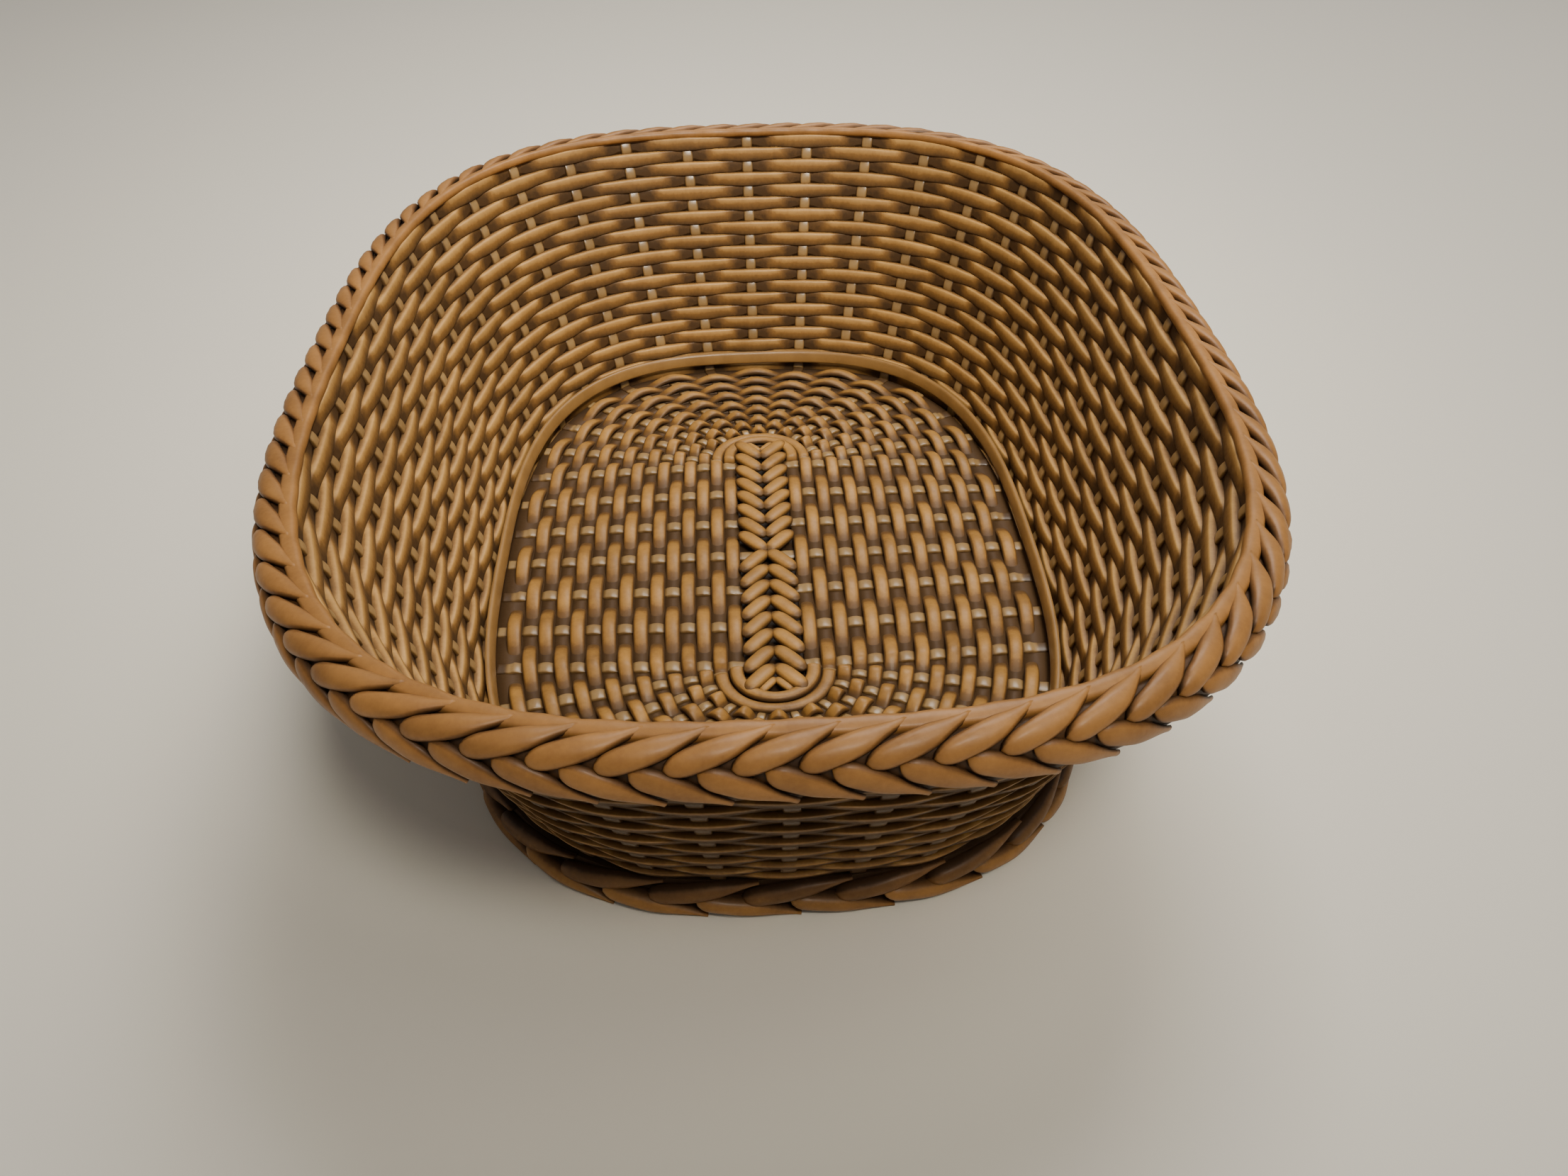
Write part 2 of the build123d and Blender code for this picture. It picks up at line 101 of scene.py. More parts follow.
@dataclass(frozen=True)
class Finish:
    """One finish of the basket: a light high colour over dark antiquing and painted shade.

    Args:
        tone: Which finish it is.
        high: Colour of the rubbed high places, linear RGB.
        body: Colour between the high places and the darkest colour.
        wash_and_shade: Darkest colour, of the antiquing in the recesses and of the painted shade.
        roughness: Roughness of the high places.
        coat: Weight of the clear varnish.
        bias: Extra darkening added all over the finish, 0 to 1.
        grain: Strength of the fine surface grain.
    """

    tone: Tone
    high: tuple[float, float, float]
    body: tuple[float, float, float]
    wash_and_shade: tuple[float, float, float]
    roughness: float = 0.48
    coat: float = 0.08
    bias: float = 0.0
    grain: float = 0.35

    def material(self) -> bpy.types.Material:
        """Builds the finish's material.

        Returns:
            The new material, with its shader nodes in place.
        """
        made = bpy.data.materials.new(f"{self.tone.value}_finish")
        made.use_nodes = True
        tree = Wiring(made.node_tree)
        tree.clear()
        # Each point's level of antiquing and painted shade, stored on the meshes
        wash_and_shade = tree.add("ShaderNodeAttribute", attribute_name="wash_and_shade")
        tint = tree.add("ShaderNodeAttribute", attribute_name="tint")
        place = tree.add("ShaderNodeTexCoord")
        antique_and_shade = tree.add("ShaderNodeGroup", node_tree=antique_and_shade_group())
        tree.feed(antique_and_shade, {"Place": place.outputs["Object"], "Wash And Shade": wash_and_shade.outputs["Fac"],
                            "Tint": tint.outputs["Fac"], "High Colour": (*self.high, 1),
                            "Body Colour": (*self.body, 1), "Wash And Shade Colour": (*self.wash_and_shade, 1),
                            "Bias": self.bias, "High Roughness": self.roughness})
        grain = tree.add("ShaderNodeGroup", node_tree=grain_group())
        tree.feed(grain, {"Place": place.outputs["Object"], "Wash And Shade": wash_and_shade.outputs["Fac"],
                          "Strength": self.grain})
        shader = tree.add("ShaderNodeBsdfPrincipled")
        shader.inputs["Coat Weight"].default_value = self.coat
        shader.inputs["Coat Roughness"].default_value = 0.22
        shader.inputs["IOR"].default_value = 1.40
        tree.link(antique_and_shade.outputs["Colour"], shader.inputs["Base Color"])
        tree.link(antique_and_shade.outputs["Roughness"], shader.inputs["Roughness"])
        tree.link(grain.outputs["Normal"], shader.inputs["Normal"])
        out = tree.add("ShaderNodeOutputMaterial")
        tree.link(shader.outputs["BSDF"], out.inputs["Surface"])
        return made


class Wiring:
    """A node tree that is being wired up."""

    def __init__(self, tree: bpy.types.NodeTree) -> None:
        """Keeps the tree.

        Args:
            tree: The shader or geometry tree to build in.
        """
        self.tree = tree

    def clear(self) -> None:
        """Removes the nodes that a new material starts with."""
        self.tree.nodes.clear()

    def link(self, source: bpy.types.NodeSocket, target: bpy.types.NodeSocket) -> None:
        """Joins two sockets."""
        self.tree.links.new(source, target)

    def feed(self, node: bpy.types.Node, values: dict) -> None:
        """Sets or links a node's inputs.

        Args:
            node: The node to feed.
            values: Input name or number to a value or to another node's output.
        """
        for key, value in values.items():
            if isinstance(value, bpy.types.NodeSocket):
                self.link(value, node.inputs[key])
            else:
                node.inputs[key].default_value = value

    def add(self, kind: str, inputs: dict | None = None, **settings) -> bpy.types.Node:
        """Adds a node.

        Args:
            kind: The node's Blender type.
            inputs: Values or links for its inputs.
            settings: The node's own properties.

        Returns:
            The new node.
        """
        node = self.tree.nodes.new(kind)
        for name, value in settings.items():
            setattr(node, name, value)
        self.feed(node, inputs or {})
        return node

    def math(self, operation: str, *values) -> bpy.types.NodeSocket:
        """Adds a Math node over numbers or sockets and returns its output."""
        return self.add("ShaderNodeMath", dict(enumerate(values)), operation=operation).outputs[0]

    def vector(self, operation: str, *values) -> bpy.types.NodeSocket:
        """Adds a Vector Math node over vectors or sockets and returns its output."""
        node = self.add("ShaderNodeVectorMath", dict(enumerate(values)), operation=operation)
        return node.outputs[0]

    def between(self, low, high, share) -> bpy.types.NodeSocket:
        """Returns the vector a share of the way from low to high."""
        return self.vector("MULTIPLY_ADD", self.vector("SUBTRACT", high, low), share, low)

    def mix(self, share, low, high) -> bpy.types.NodeSocket:
        """Mixes two colours.

        Args:
            share: How much of the second colour, a number or socket.
            low: First colour or socket.
            high: Second colour or socket.

        Returns:
            The mixed colour's socket.
        """
        node = self.add("ShaderNodeMix", {0: share, 6: low, 7: high}, data_type="RGBA")
        return node.outputs[2]

    def tinted(self, copies: bpy.types.Node, seed: bpy.types.NodeSocket) -> bpy.types.Node:
        """Gives every copy its own tint and makes the copies real.

        Args:
            copies: The node that sets the copies on points.
            seed: Seed of the tints.

        Returns:
            The node whose first output is the real geometry.
        """
        chance = self.add("FunctionNodeRandomValue", {"Seed": seed}, data_type="FLOAT")
        stored = self.add("GeometryNodeStoreNamedAttribute",
                          {"Geometry": copies.outputs[0], "Name": "tint",
                           "Value": chance.outputs[1]},
                          data_type="FLOAT", domain="INSTANCE")
        return self.add("GeometryNodeRealizeInstances", {0: stored.outputs[0]})


def new_group(name: str, kind: str, inputs: Sequence[tuple], outputs: Sequence[tuple]) -> Wiring:
    """Starts a node group with named sockets.

    Args:
        name: The group's name.
        kind: ShaderNodeTree or GeometryNodeTree.
        inputs: Name, socket type and default value (or None) of each input.
        outputs: Name and socket type of each output.

    Returns:
        The wiring of the empty group.
    """
    tree = bpy.data.node_groups.new(name, kind)
    for socket_name, socket_type, default in inputs:
        socket = tree.interface.new_socket(socket_name, in_out="INPUT", socket_type=socket_type)
        if default is not None:
            socket.default_value = default
    for socket_name, socket_type in outputs:
        tree.interface.new_socket(socket_name, in_out="OUTPUT", socket_type=socket_type)
    return Wiring(tree)


def antique_and_shade_group() -> bpy.types.NodeTree:
    """Makes or finds the group that darkens a light colour by each point's level of antiquing and
    painted shade.

    Returns:
        The shader group, with Colour and Roughness outputs.
    """
    name = "antique_wash"
    if name in bpy.data.node_groups:
        return bpy.data.node_groups[name]
    wiring = new_group(
        name, "ShaderNodeTree",
        [("Place", "NodeSocketVector", None), ("Wash And Shade", "NodeSocketFloat", 0.0),
         ("Tint", "NodeSocketFloat", 0.5), ("High Colour", "NodeSocketColor", None),
         ("Body Colour", "NodeSocketColor", None), ("Wash And Shade Colour", "NodeSocketColor", None),
         ("Bias", "NodeSocketFloat", 0.0), ("High Roughness", "NodeSocketFloat", 0.4)],
        [("Colour", "NodeSocketColor"), ("Roughness", "NodeSocketFloat")])
    given = wiring.add("NodeGroupInput").outputs
    patches = wiring.add("ShaderNodeTexNoise", {"Vector": given["Place"], "Scale": 95.0,
                                                "Detail": 4.0, "Roughness": 0.6})
    specks = wiring.add("ShaderNodeTexNoise", {"Vector": given["Place"], "Scale": 900.0,
                                               "Detail": 3.0, "Roughness": 0.7})
    clouds = wiring.add("ShaderNodeTexNoise", {"Vector": given["Place"], "Scale": 22.0,
                                               "Detail": 2.0})
    # The edge of the darkening, antiquing and painted shade alike, wanders and breaks up into
    # specks
    wander = wiring.math("MULTIPLY", wiring.math("SUBTRACT", patches.outputs[0], 0.5), 0.80)
    speckle = wiring.math("MULTIPLY", wiring.math("SUBTRACT", specks.outputs[0], 0.5), 0.30)
    level = wiring.math("ADD", wiring.math("ADD", given["Wash And Shade"], given["Bias"]),
                        wiring.math("ADD", wander, speckle))
    high = wiring.add("ShaderNodeMapRange", {0: level, 1: -0.12, 2: 0.38}).outputs[0]
    deep = wiring.add("ShaderNodeMapRange", {0: level, 1: 0.30, 2: 0.95}).outputs[0]
    colour = wiring.mix(high, given["High Colour"], given["Body Colour"])
    colour = wiring.mix(deep, colour, given["Wash And Shade Colour"])
    # Strands differ a little from each other, and the whole basket drifts slowly in tone
    drift = wiring.math("ADD", wiring.math("MULTIPLY", given["Tint"], 0.20),
                        wiring.math("MULTIPLY", clouds.outputs[0], 0.30))
    value = wiring.math("ADD", drift, 0.75)
    shade = wiring.add("ShaderNodeHueSaturation", {"Value": value, "Color": colour})
    rough = wiring.math("ADD", given["High Roughness"], wiring.math("MULTIPLY", deep, 0.18))
    rough = wiring.math("ADD", rough, wiring.math("MULTIPLY", speckle, 0.5))
    out = wiring.add("NodeGroupOutput")
    wiring.feed(out, {"Colour": shade.outputs[0], "Roughness": rough})
    return wiring.tree


def grain_group() -> bpy.types.NodeTree:
    """Makes or finds the group that gives the fine uneven surface of moulded strands.

    Returns:
        The shader group, with a Normal output.
    """
    name = "strand_grain"
    if name in bpy.data.node_groups:
        return bpy.data.node_groups[name]
    wiring = new_group(
        name, "ShaderNodeTree",
        [("Place", "NodeSocketVector", None), ("Wash And Shade", "NodeSocketFloat", 0.0),
         ("Strength", "NodeSocketFloat", 0.3)],
        [("Normal", "NodeSocketVector")])
    given = wiring.add("NodeGroupInput").outputs
    fine = wiring.add("ShaderNodeTexNoise", {"Vector": given["Place"], "Scale": 1500.0,
                                             "Detail": 3.0, "Roughness": 0.65})
    lumps = wiring.add("ShaderNodeTexNoise", {"Vector": given["Place"], "Scale": 260.0,
                                              "Detail": 2.0})
    height = wiring.math("ADD", wiring.math("MULTIPLY", fine.outputs[0], 0.25), lumps.outputs[0])
    rise = wiring.math("ADD", wiring.math("MULTIPLY", given["Wash And Shade"], 0.6), 0.7)
    bump = wiring.add("ShaderNodeBump", {"Strength": given["Strength"], "Distance": 0.00035,
                                         "Height": wiring.math("MULTIPLY", height, rise)})
    out = wiring.add("NodeGroupOutput")
    wiring.feed(out, {"Normal": bump.outputs[0]})
    return wiring.tree


# Darkest colours, both for the antiquing in the recesses and for painted shade
DARK = (0.066, 0.032, 0.0095)
DEEP = (0.042, 0.018, 0.005)
FINISHES: dict[Tone, Finish] = {
    Tone.WALL: Finish(Tone.WALL, (0.53, 0.295, 0.088), (0.27, 0.132, 0.034), DARK),
    Tone.FLOOR: Finish(Tone.FLOOR, (0.42, 0.212, 0.048), (0.16, 0.074, 0.016), DARK, bias=0.06),
    Tone.STAKE: Finish(Tone.STAKE, (0.34, 0.212, 0.084), (0.20, 0.112, 0.038), DARK,
                       roughness=0.32, coat=0.40),
    Tone.PLAIT: Finish(Tone.PLAIT, (0.40, 0.202, 0.046), (0.17, 0.080, 0.018), DARK),
    Tone.HOOP: Finish(Tone.HOOP, (0.30, 0.160, 0.048), (0.20, 0.102, 0.029), DARK,
                      roughness=0.38, coat=0.25),
    Tone.RIM: Finish(Tone.RIM, (0.37, 0.172, 0.046), (0.18, 0.076, 0.018), DEEP),
    Tone.FOOT: Finish(Tone.FOOT, (0.36, 0.172, 0.042), (0.17, 0.077, 0.020), DEEP, bias=0.12),
    # Near-black finish for the cores, which show only in the gaps: painted shade
    Tone.CORE: Finish(Tone.CORE, (0.07, 0.035, 0.012), (0.045, 0.022, 0.008), DEEP,
                      roughness=0.6, coat=0.0, bias=0.4),
}
MATERIALS: dict[Tone, bpy.types.Material] = {}


def material(tone: Tone) -> bpy.types.Material:
    """Returns a tone's material, made once."""
    if tone not in MATERIALS:
        MATERIALS[tone] = FINISHES[tone].material()
    return MATERIALS[tone]


# --------------------------------------------------------------------------------- rails
@dataclass
class Rail:
    """Points at equal shares of the way round, with the direction out of the basket.

    Args:
        points: Places of the points, in metres, one row each.
    """

    points: np.ndarray

    @property
    def length(self) -> float:
        """Length of the rail all the way round."""
        steps = np.roll(self.points, -1, axis=0) - self.points
        return float(np.linalg.norm(steps, axis=1).sum())

    def outward(self) -> np.ndarray:
        """Unit directions out of the rail at its points."""
        run = np.roll(self.points, -1, axis=0) - np.roll(self.points, 1, axis=0)
        across = np.stack([run[:, 1], -run[:, 0]], axis=1)
        return across / np.linalg.norm(across, axis=1, keepdims=True)

    def helper(self, name: str) -> bpy.types.Object:
        """Makes the object that a node tree reads the rail from.

        Args:
            name: Name of the helper object.

        Returns:
            An object of loose points with an "out" direction on each.
        """
        mesh = bpy.data.meshes.new(name)
        count = len(self.points)
        mesh.from_pydata(np.c_[self.points, np.zeros(count)].tolist(), [], [])
        out = mesh.attributes.new("out", "FLOAT_VECTOR", "POINT")
        out.data.foreach_set("vector", np.c_[self.outward(), np.zeros(count)].ravel())
        return put(name, mesh)


def oval(half_width: float, half_length: float, power: float) -> Rail:
    """Makes the rail of a squarish oval.

    Args:
        half_width: Half size along X.
        half_length: Half size along Y.
        power: Squareness, 2 for an ellipse.

    Returns:
        The rail, from +X and counter-clockwise.
    """
    angle = np.linspace(0, 2 * math.pi, OVAL_STEPS + 1)
    c, s = np.cos(angle), np.sin(angle)
    dense = np.stack([half_width * np.sign(c) * np.abs(c) ** (2 / power),
                      half_length * np.sign(s) * np.abs(s) ** (2 / power)], axis=1)
    run = np.r_[0, np.cumsum(np.linalg.norm(np.diff(dense, axis=0), axis=1))]
    target = np.arange(RAIL_POINTS) / RAIL_POINTS * run[-1]
    return Rail(np.stack([np.interp(target, run, dense[:, k]) for k in (0, 1)], axis=1))


@dataclass
class Form:
    """The basket's leading sizes, read from the boxes of the basket's nodes.

    Args:
        stakes: Number of stakes round the wall.
        power: Squareness of every oval.
        stake_thickness: Thickness of a stake.
        waist_in: How much narrower the wall is at the foot than at the knee.
        hoop_thickness: Thickness of the plain hoop.
        hoop_lean: How far the hoop's top leans out.
        knee_out: From the hoop's inner edge to the middle of the wall.
        last_ring_in: From the hoop's inner edge to the last floor weaver.
        foot_core_half: Half thickness of the foot's core.
        side_sticks: Sticks from the middle of the strip's side to its last straight one.
        stick_pitch: Distance between those sticks.
        first_side_gap: From the strip's side to the first floor weaver.
        first_end_gap: From the strip's end to the first floor weaver.
        rails: The ovals by name, filled in here.
    """

    stakes: int = 40
    power: float = 2.9
    stake_thickness: float = 1.5 * MM
    waist_in: float = 2.2 * MM
    hoop_thickness: float = 1.6 * MM
    hoop_lean: float = 1.2 * MM
    knee_out: float = 4.45 * MM
    last_ring_in: float = 4.1 * MM
    foot_core_half: float = 2.3 * MM
    side_sticks: int = 3
    stick_pitch: float = 15.8 * MM
    first_side_gap: float = 2.1 * MM
    first_end_gap: float = 2.0 * MM
    rails: dict[str, Rail] = field(default_factory=dict)

    def __post_init__(self) -> None:
        """Reads the boxes and works out the levels and the ovals."""
        stakes_low, stakes_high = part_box("wall_stakes")
        hoop_low, hoop_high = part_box("floor_hoop")
        foot_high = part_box("foot_core")[1]
        strip_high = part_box("floor_core_stick")[1]
        sticks_low, sticks_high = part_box("floor_cross_sticks")
        half = self.stake_thickness / 2
        self.wall_bottom, self.wall_top = stakes_low.z, stakes_high.z
        self.knee_level = hoop_low.z
        self.hoop_top = hoop_high.z
        self.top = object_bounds()[1].z
        self.floor_level = (sticks_low.z + sticks_high.z) / 2
        self.strip_half = (strip_high.x, strip_high.y)
        self.rim_half = (stakes_high.x - half, stakes_high.y - half)
        lean = self.hoop_thickness + self.hoop_lean
        self.floor_half = (hoop_high.x - lean, hoop_high.y - lean)
        self.knee_half = tuple(size + self.knee_out for size in self.floor_half)
        self.waist_half = tuple(min(knee - self.waist_in, foot - half)
                                for knee, foot in zip(self.knee_half, foot_high))
        self.foot_half = tuple(size - self.foot_core_half for size in foot_high[:2])
        for name, size in (("rim", self.rim_half), ("knee", self.knee_half),
                           ("waist", self.waist_half), ("hoop", self.floor_half),
                           ("foot", self.foot_half)):
            self.rails[name] = oval(*size, self.power)
        last = tuple(size - self.last_ring_in for size in self.floor_half)
        self.rails["last"] = oval(*last, self.power)
        self.rails["first"] = self.first_ring()

    def first_ring(self) -> Rail:
        """Makes the ring next to the centre strip, spaced by floor stick numbers.

        Returns:
            The rail, with straight sides and round ends.
        """
        side_sticks, pitch = self.side_sticks, self.stick_pitch
        out = self.strip_half[0] + self.first_side_gap
        end = self.strip_half[1] + self.first_end_gap
        quarter = self.stakes // 4
        straight = end - out
        total = straight + math.pi / 2 * out
        places = []
        for index in range(RAIL_POINTS):
            along = index / RAIL_POINTS * self.stakes
            quadrant = int(along // quarter) % 4
            rest = along - quadrant * quarter
            folded = rest if quadrant % 2 == 0 else quarter - rest
            reach = folded * pitch
            if folded > side_sticks:
                part = (folded - side_sticks) / (quarter - side_sticks)
                reach = side_sticks * pitch + (total - side_sticks * pitch) * part
            if reach <= straight:
                x, y = out, reach
            else:
                turn = (reach - straight) / out
                x, y = out * math.cos(turn), straight + out * math.sin(turn)
            places.append((x if quadrant in (0, 3) else -x, y if quadrant in (0, 1) else -y))
        return Rail(np.array(places))

    def spacing(self, level: float) -> float:
        """Distance from stake to stake at a level of the wall."""
        waist, knee, rim = (self.rails[name].length for name in ("waist", "knee", "rim"))
        length = float(np.interp(level, [self.wall_bottom, self.knee_level, self.wall_top],
                                 [waist, knee, rim]))
        return length / self.stakes


# ----------------------------------------------------------------------------- laying out
class Lay(Enum):
    """How a flat pattern is laid on the basket."""

    WALL = "wall"
    FLOOR = "floor"


@dataclass
class Pattern:
    """A flat piece of weave: X counts repeats, Y is out or ring number, Z is height.

    Args:
        points: Places, one row each.
        faces: Corners of the faces.
        wash_and_shade: How dark each point is made, 0 to 1: antiquing in the recesses with
            painted shade, and lower for painted highlights.
        repeat: Length of the pattern along X.
    """

    points: np.ndarray
    faces: list[tuple[int, ...]]
    wash_and_shade: np.ndarray
    repeat: float = 1.0

    def joined(self, other: "Pattern") -> "Pattern":
        """Returns this pattern with another one added."""
        shift = len(self.points)
        faces = self.faces + [tuple(corner + shift for corner in face) for face in other.faces]
        return Pattern(np.r_[self.points, other.points], faces,
                       np.r_[self.wash_and_shade, other.wash_and_shade], self.repeat)

    def mesh(self, name: str) -> bpy.types.Mesh:
        """Makes the pattern's mesh.

        Args:
            name: Name of the mesh.

        Returns:
            The mesh, with the level of antiquing and painted shade on its points.
        """
        made = bpy.data.meshes.new(name)
        made.from_pydata(self.points.tolist(), [], self.faces)
        wash_and_shade = made.attributes.new("wash_and_shade", "FLOAT", "POINT")
        wash_and_shade.data.foreach_set("value", np.clip(self.wash_and_shade, 0, 1).astype(np.float32))
        return made


def tube(rings: np.ndarray, wash_and_shade: np.ndarray, closed: bool, repeat: float = 1.0) -> Pattern:
    """Skins a row of rings of points.

    Args:
        rings: Array of ring, point in ring, and XYZ.
        wash_and_shade: Array of ring and point in ring.
        closed: True to close both ends with a fan.
        repeat: Length of the pattern along X.

    Returns:
        The skinned pattern, its faces pointing out where the rings turn clockwise seen from
        the end that they run to.
    """
    count, around = rings.shape[:2]
    faces: list[tuple[int, ...]] = []
    for ring in range(count - 1):
        for point in range(around):
            a, b = ring * around + point, ring * around + (point + 1) % around
            faces.append((a, b, b + around, a + around))
    points, shade = rings.reshape(-1, 3), wash_and_shade.ravel()
    if closed:
        for ring, order in ((0, -1), (count - 1, 1)):
            centre = len(points)
            points = np.r_[points, [rings[ring].mean(axis=0)]]
            shade = np.r_[shade, wash_and_shade[ring].mean()]
            for point in range(around):
                a, b = ring * around + point, ring * around + (point + 1) % around
                faces.append((a, b, centre) if order > 0 else (b, a, centre))
    return Pattern(points, faces, shade, repeat)


def section(points: int, power: float) -> np.ndarray:
    """Makes a rounded oblong section of half sizes 1 by 1.

    Args:
        points: Number of points round it.
        power: Squareness, 2 for round.

    Returns:
        Array of points, two numbers each.
    """
    angle = 2 * math.pi * np.arange(points) / points
    c, s = np.cos(angle), np.sin(angle)
    return np.stack([np.sign(c) * np.abs(c) ** (2 / power),
                     np.sign(s) * np.abs(s) ** (2 / power)], axis=1)


def smooth(low: float, high: float, value: np.ndarray) -> np.ndarray:
    """Eased step from 0 at low to 1 at high."""
    part = np.clip((value - low) / (high - low), 0, 1)
    return part * part * (3 - 2 * part)


def grow(source: bpy.types.Object, tree: bpy.types.NodeTree, values: dict,
         name: str) -> bpy.types.Object:
    """Runs a geometry tree on an object and puts a plain mesh in its place.

    Args:
        source: The object that the tree starts from, which is removed.
        tree: The geometry tree.
        values: The tree's inputs by name.
        name: Name of the new object.

    Returns:
        The finished object.
    """
    modifier = source.modifiers.new("grow", "NODES")
    modifier.node_group = tree
    for item in tree.interface.items_tree:
        if item.in_out == "INPUT" and item.name in values:
            modifier[item.identifier] = values[item.name]
    graph = bpy.context.evaluated_depsgraph_get()
    mesh = bpy.data.meshes.new_from_object(source.evaluated_get(graph), depsgraph=graph,
                                           preserve_all_data_layers=True)
    bpy.data.objects.remove(source)
    mesh.name = name
    return put(name, mesh)


class Layer:
    """Repeats a pattern and lays it round the basket with a Geometry Nodes tree."""

    def __init__(self, form: Form) -> None:
        """Makes the rails' helper objects and both trees.

        Args:
            form: The basket's leading sizes.
        """
        self.form = form
        self.helpers = {name: rail.helper(f"rail_{name}") for name, rail in form.rails.items()}
        self.trees = {lay: self.tree(lay) for lay in Lay}

    def tree(self, lay: Lay) -> bpy.types.NodeTree:
        """Builds the tree for one way of laying.

        Args:
            lay: On the wall, by height, or on the floor, by ring number.

        Returns:
            The geometry node tree.
        """
        wiring = new_group(
            f"lay_on_{lay.value}", "GeometryNodeTree",
            [("Pattern", "NodeSocketGeometry", None), ("Count", "NodeSocketInt", 1),
             ("Repeat", "NodeSocketFloat", 1.0), ("Shift", "NodeSocketFloat", 0.0),
             ("Low Rail", "NodeSocketObject", None), ("Middle Rail", "NodeSocketObject", None),
             ("High Rail", "NodeSocketObject", None), ("Low Level", "NodeSocketFloat", 0.0),
             ("Middle Level", "NodeSocketFloat", 0.5), ("High Level", "NodeSocketFloat", 1.0),
             ("Seed", "NodeSocketInt", 1), ("Finish", "NodeSocketMaterial", None)],
            [("Geometry", "NodeSocketGeometry")])
        given = wiring.add("NodeGroupInput").outputs
        step = wiring.add("ShaderNodeCombineXYZ", {0: given["Repeat"]}).outputs[0]
        line = wiring.add("GeometryNodeMeshLine", {"Count": given["Count"], "Offset": step},
                          mode="OFFSET")
        copies = wiring.add("GeometryNodeInstanceOnPoints",
                            {"Points": line.outputs[0], "Instance": given["Pattern"]})
        real = wiring.tinted(copies, given["Seed"])
        place = wiring.add("GeometryNodeInputPosition").outputs[0]
        xyz = wiring.add("ShaderNodeSeparateXYZ", {0: place}).outputs
        whole = wiring.math("MULTIPLY", given["Count"], given["Repeat"])
        share = wiring.math("DIVIDE", wiring.math("ADD", xyz[0], given["Shift"]), whole)
        index = wiring.math("MULTIPLY", wiring.math("FRACT", wiring.math("ADD", share, 1.0)),
                            float(RAIL_POINTS))
        low, part = wiring.math("FLOOR", index), wiring.math("FRACT", index)
        near = wiring.math("MODULO", low, float(RAIL_POINTS))
        far = wiring.math("MODULO", wiring.math("ADD", low, 1.0), float(RAIL_POINTS))

        def on_rail(rail: str) -> tuple[bpy.types.NodeSocket, bpy.types.NodeSocket]:
            """Returns the place on a rail, and the direction out of it."""
            source = wiring.add("GeometryNodeObjectInfo", {0: given[rail]}).outputs["Geometry"]
            out = wiring.add("GeometryNodeInputNamedAttribute", {"Name": "out"},
                             data_type="FLOAT_VECTOR").outputs[0]
            found = []
            for value in (place, out):
                ends = [wiring.add("GeometryNodeSampleIndex",
                                   {"Geometry": source, "Value": value, "Index": at},
                                   data_type="FLOAT_VECTOR").outputs[0] for at in (near, far)]
                found.append(wiring.between(*ends, part))
            return found[0], found[1]

        ruler = xyz[2] if lay is Lay.WALL else xyz[1]
        levels = [given[f"{name} Level"] for name in ("Low", "Middle", "High")]
        shares = []
        for start, end in zip(levels, levels[1:]):
            node = wiring.add("ShaderNodeMapRange", {0: ruler, 1: start, 2: end})
            node.clamp = lay is Lay.WALL
            shares.append(node.outputs[0])
        rails = [on_rail(f"{name} Rail") for name in ("Low", "Middle", "High")]
        place_on, out_of = (
            wiring.between(wiring.between(rails[0][k], rails[1][k], shares[0]), rails[2][k],
                           shares[1]) if lay is Lay.WALL
            else wiring.between(rails[0][k], rails[2][k], shares[0]) for k in (0, 1))
        if lay is Lay.WALL:
            reach = wiring.add("ShaderNodeCombineXYZ", {0: xyz[1], 1: xyz[1], 2: xyz[1]})
            place_on = wiring.vector("MULTIPLY_ADD", wiring.vector("NORMALIZE", out_of),
                                     reach.outputs[0], place_on)
        flat = wiring.add("ShaderNodeSeparateXYZ", {0: place_on}).outputs
        final = wiring.add("ShaderNodeCombineXYZ", {0: flat[0], 1: flat[1], 2: xyz[2]})
        moved = wiring.add("GeometryNodeSetPosition",
                           {"Geometry": real.outputs[0], "Position": final.outputs[0]})
        merged = wiring.add("GeometryNodeMergeByDistance",
                            {"Geometry": moved.outputs[0], "Distance": MERGE_GAP})
        shaded = wiring.add("GeometryNodeSetShadeSmooth", {"Geometry": merged.outputs[0]})
        dressed = wiring.add("GeometryNodeSetMaterial",
                             {"Geometry": shaded.outputs[0], "Material": given["Finish"]})
        wiring.feed(wiring.add("NodeGroupOutput"), {0: dressed.outputs[0]})
        return wiring.tree

    def lay(self, name: str, pattern: Pattern, tone: Tone, count: int, rails: Sequence[str],
            levels: Sequence[float] = (0.0, 0.5, 1.0), how: Lay = Lay.WALL, shift: float = 0.0,
            seed: int = 1) -> bpy.types.Object:
        """Lays a pattern round the basket as a plain mesh.

        Args:
            name: Name of the new object.
            pattern: The flat pattern.
            tone: Finish of the piece.
            count: Number of repeats all the way round.
            rails: Names of the low, middle and high rails.
            levels: Heights or ring numbers of those rails.
            how: On the wall or on the floor.
            shift: How far the pattern is moved along, in repeats of X.
            seed: Seed of the tints.

        Returns:
            The finished object.
        """
        source = put(f"{name}_source", pattern.mesh(f"{name}_source"))
        values = {"Count": count, "Repeat": pattern.repeat, "Shift": shift, "Seed": seed,
                  "Finish": material(tone)}
        values |= {f"{place} Rail": self.helpers[rail]
                   for place, rail in zip(("Low", "Middle", "High"), rails)}
        values |= {f"{place} Level": level
                   for place, level in zip(("Low", "Middle", "High"), levels)}
        return grow(source, self.trees[how], values, name)

    def close(self) -> None:
        """Removes the rails' helper objects."""
        for helper in self.helpers.values():
            bpy.data.objects.remove(helper)


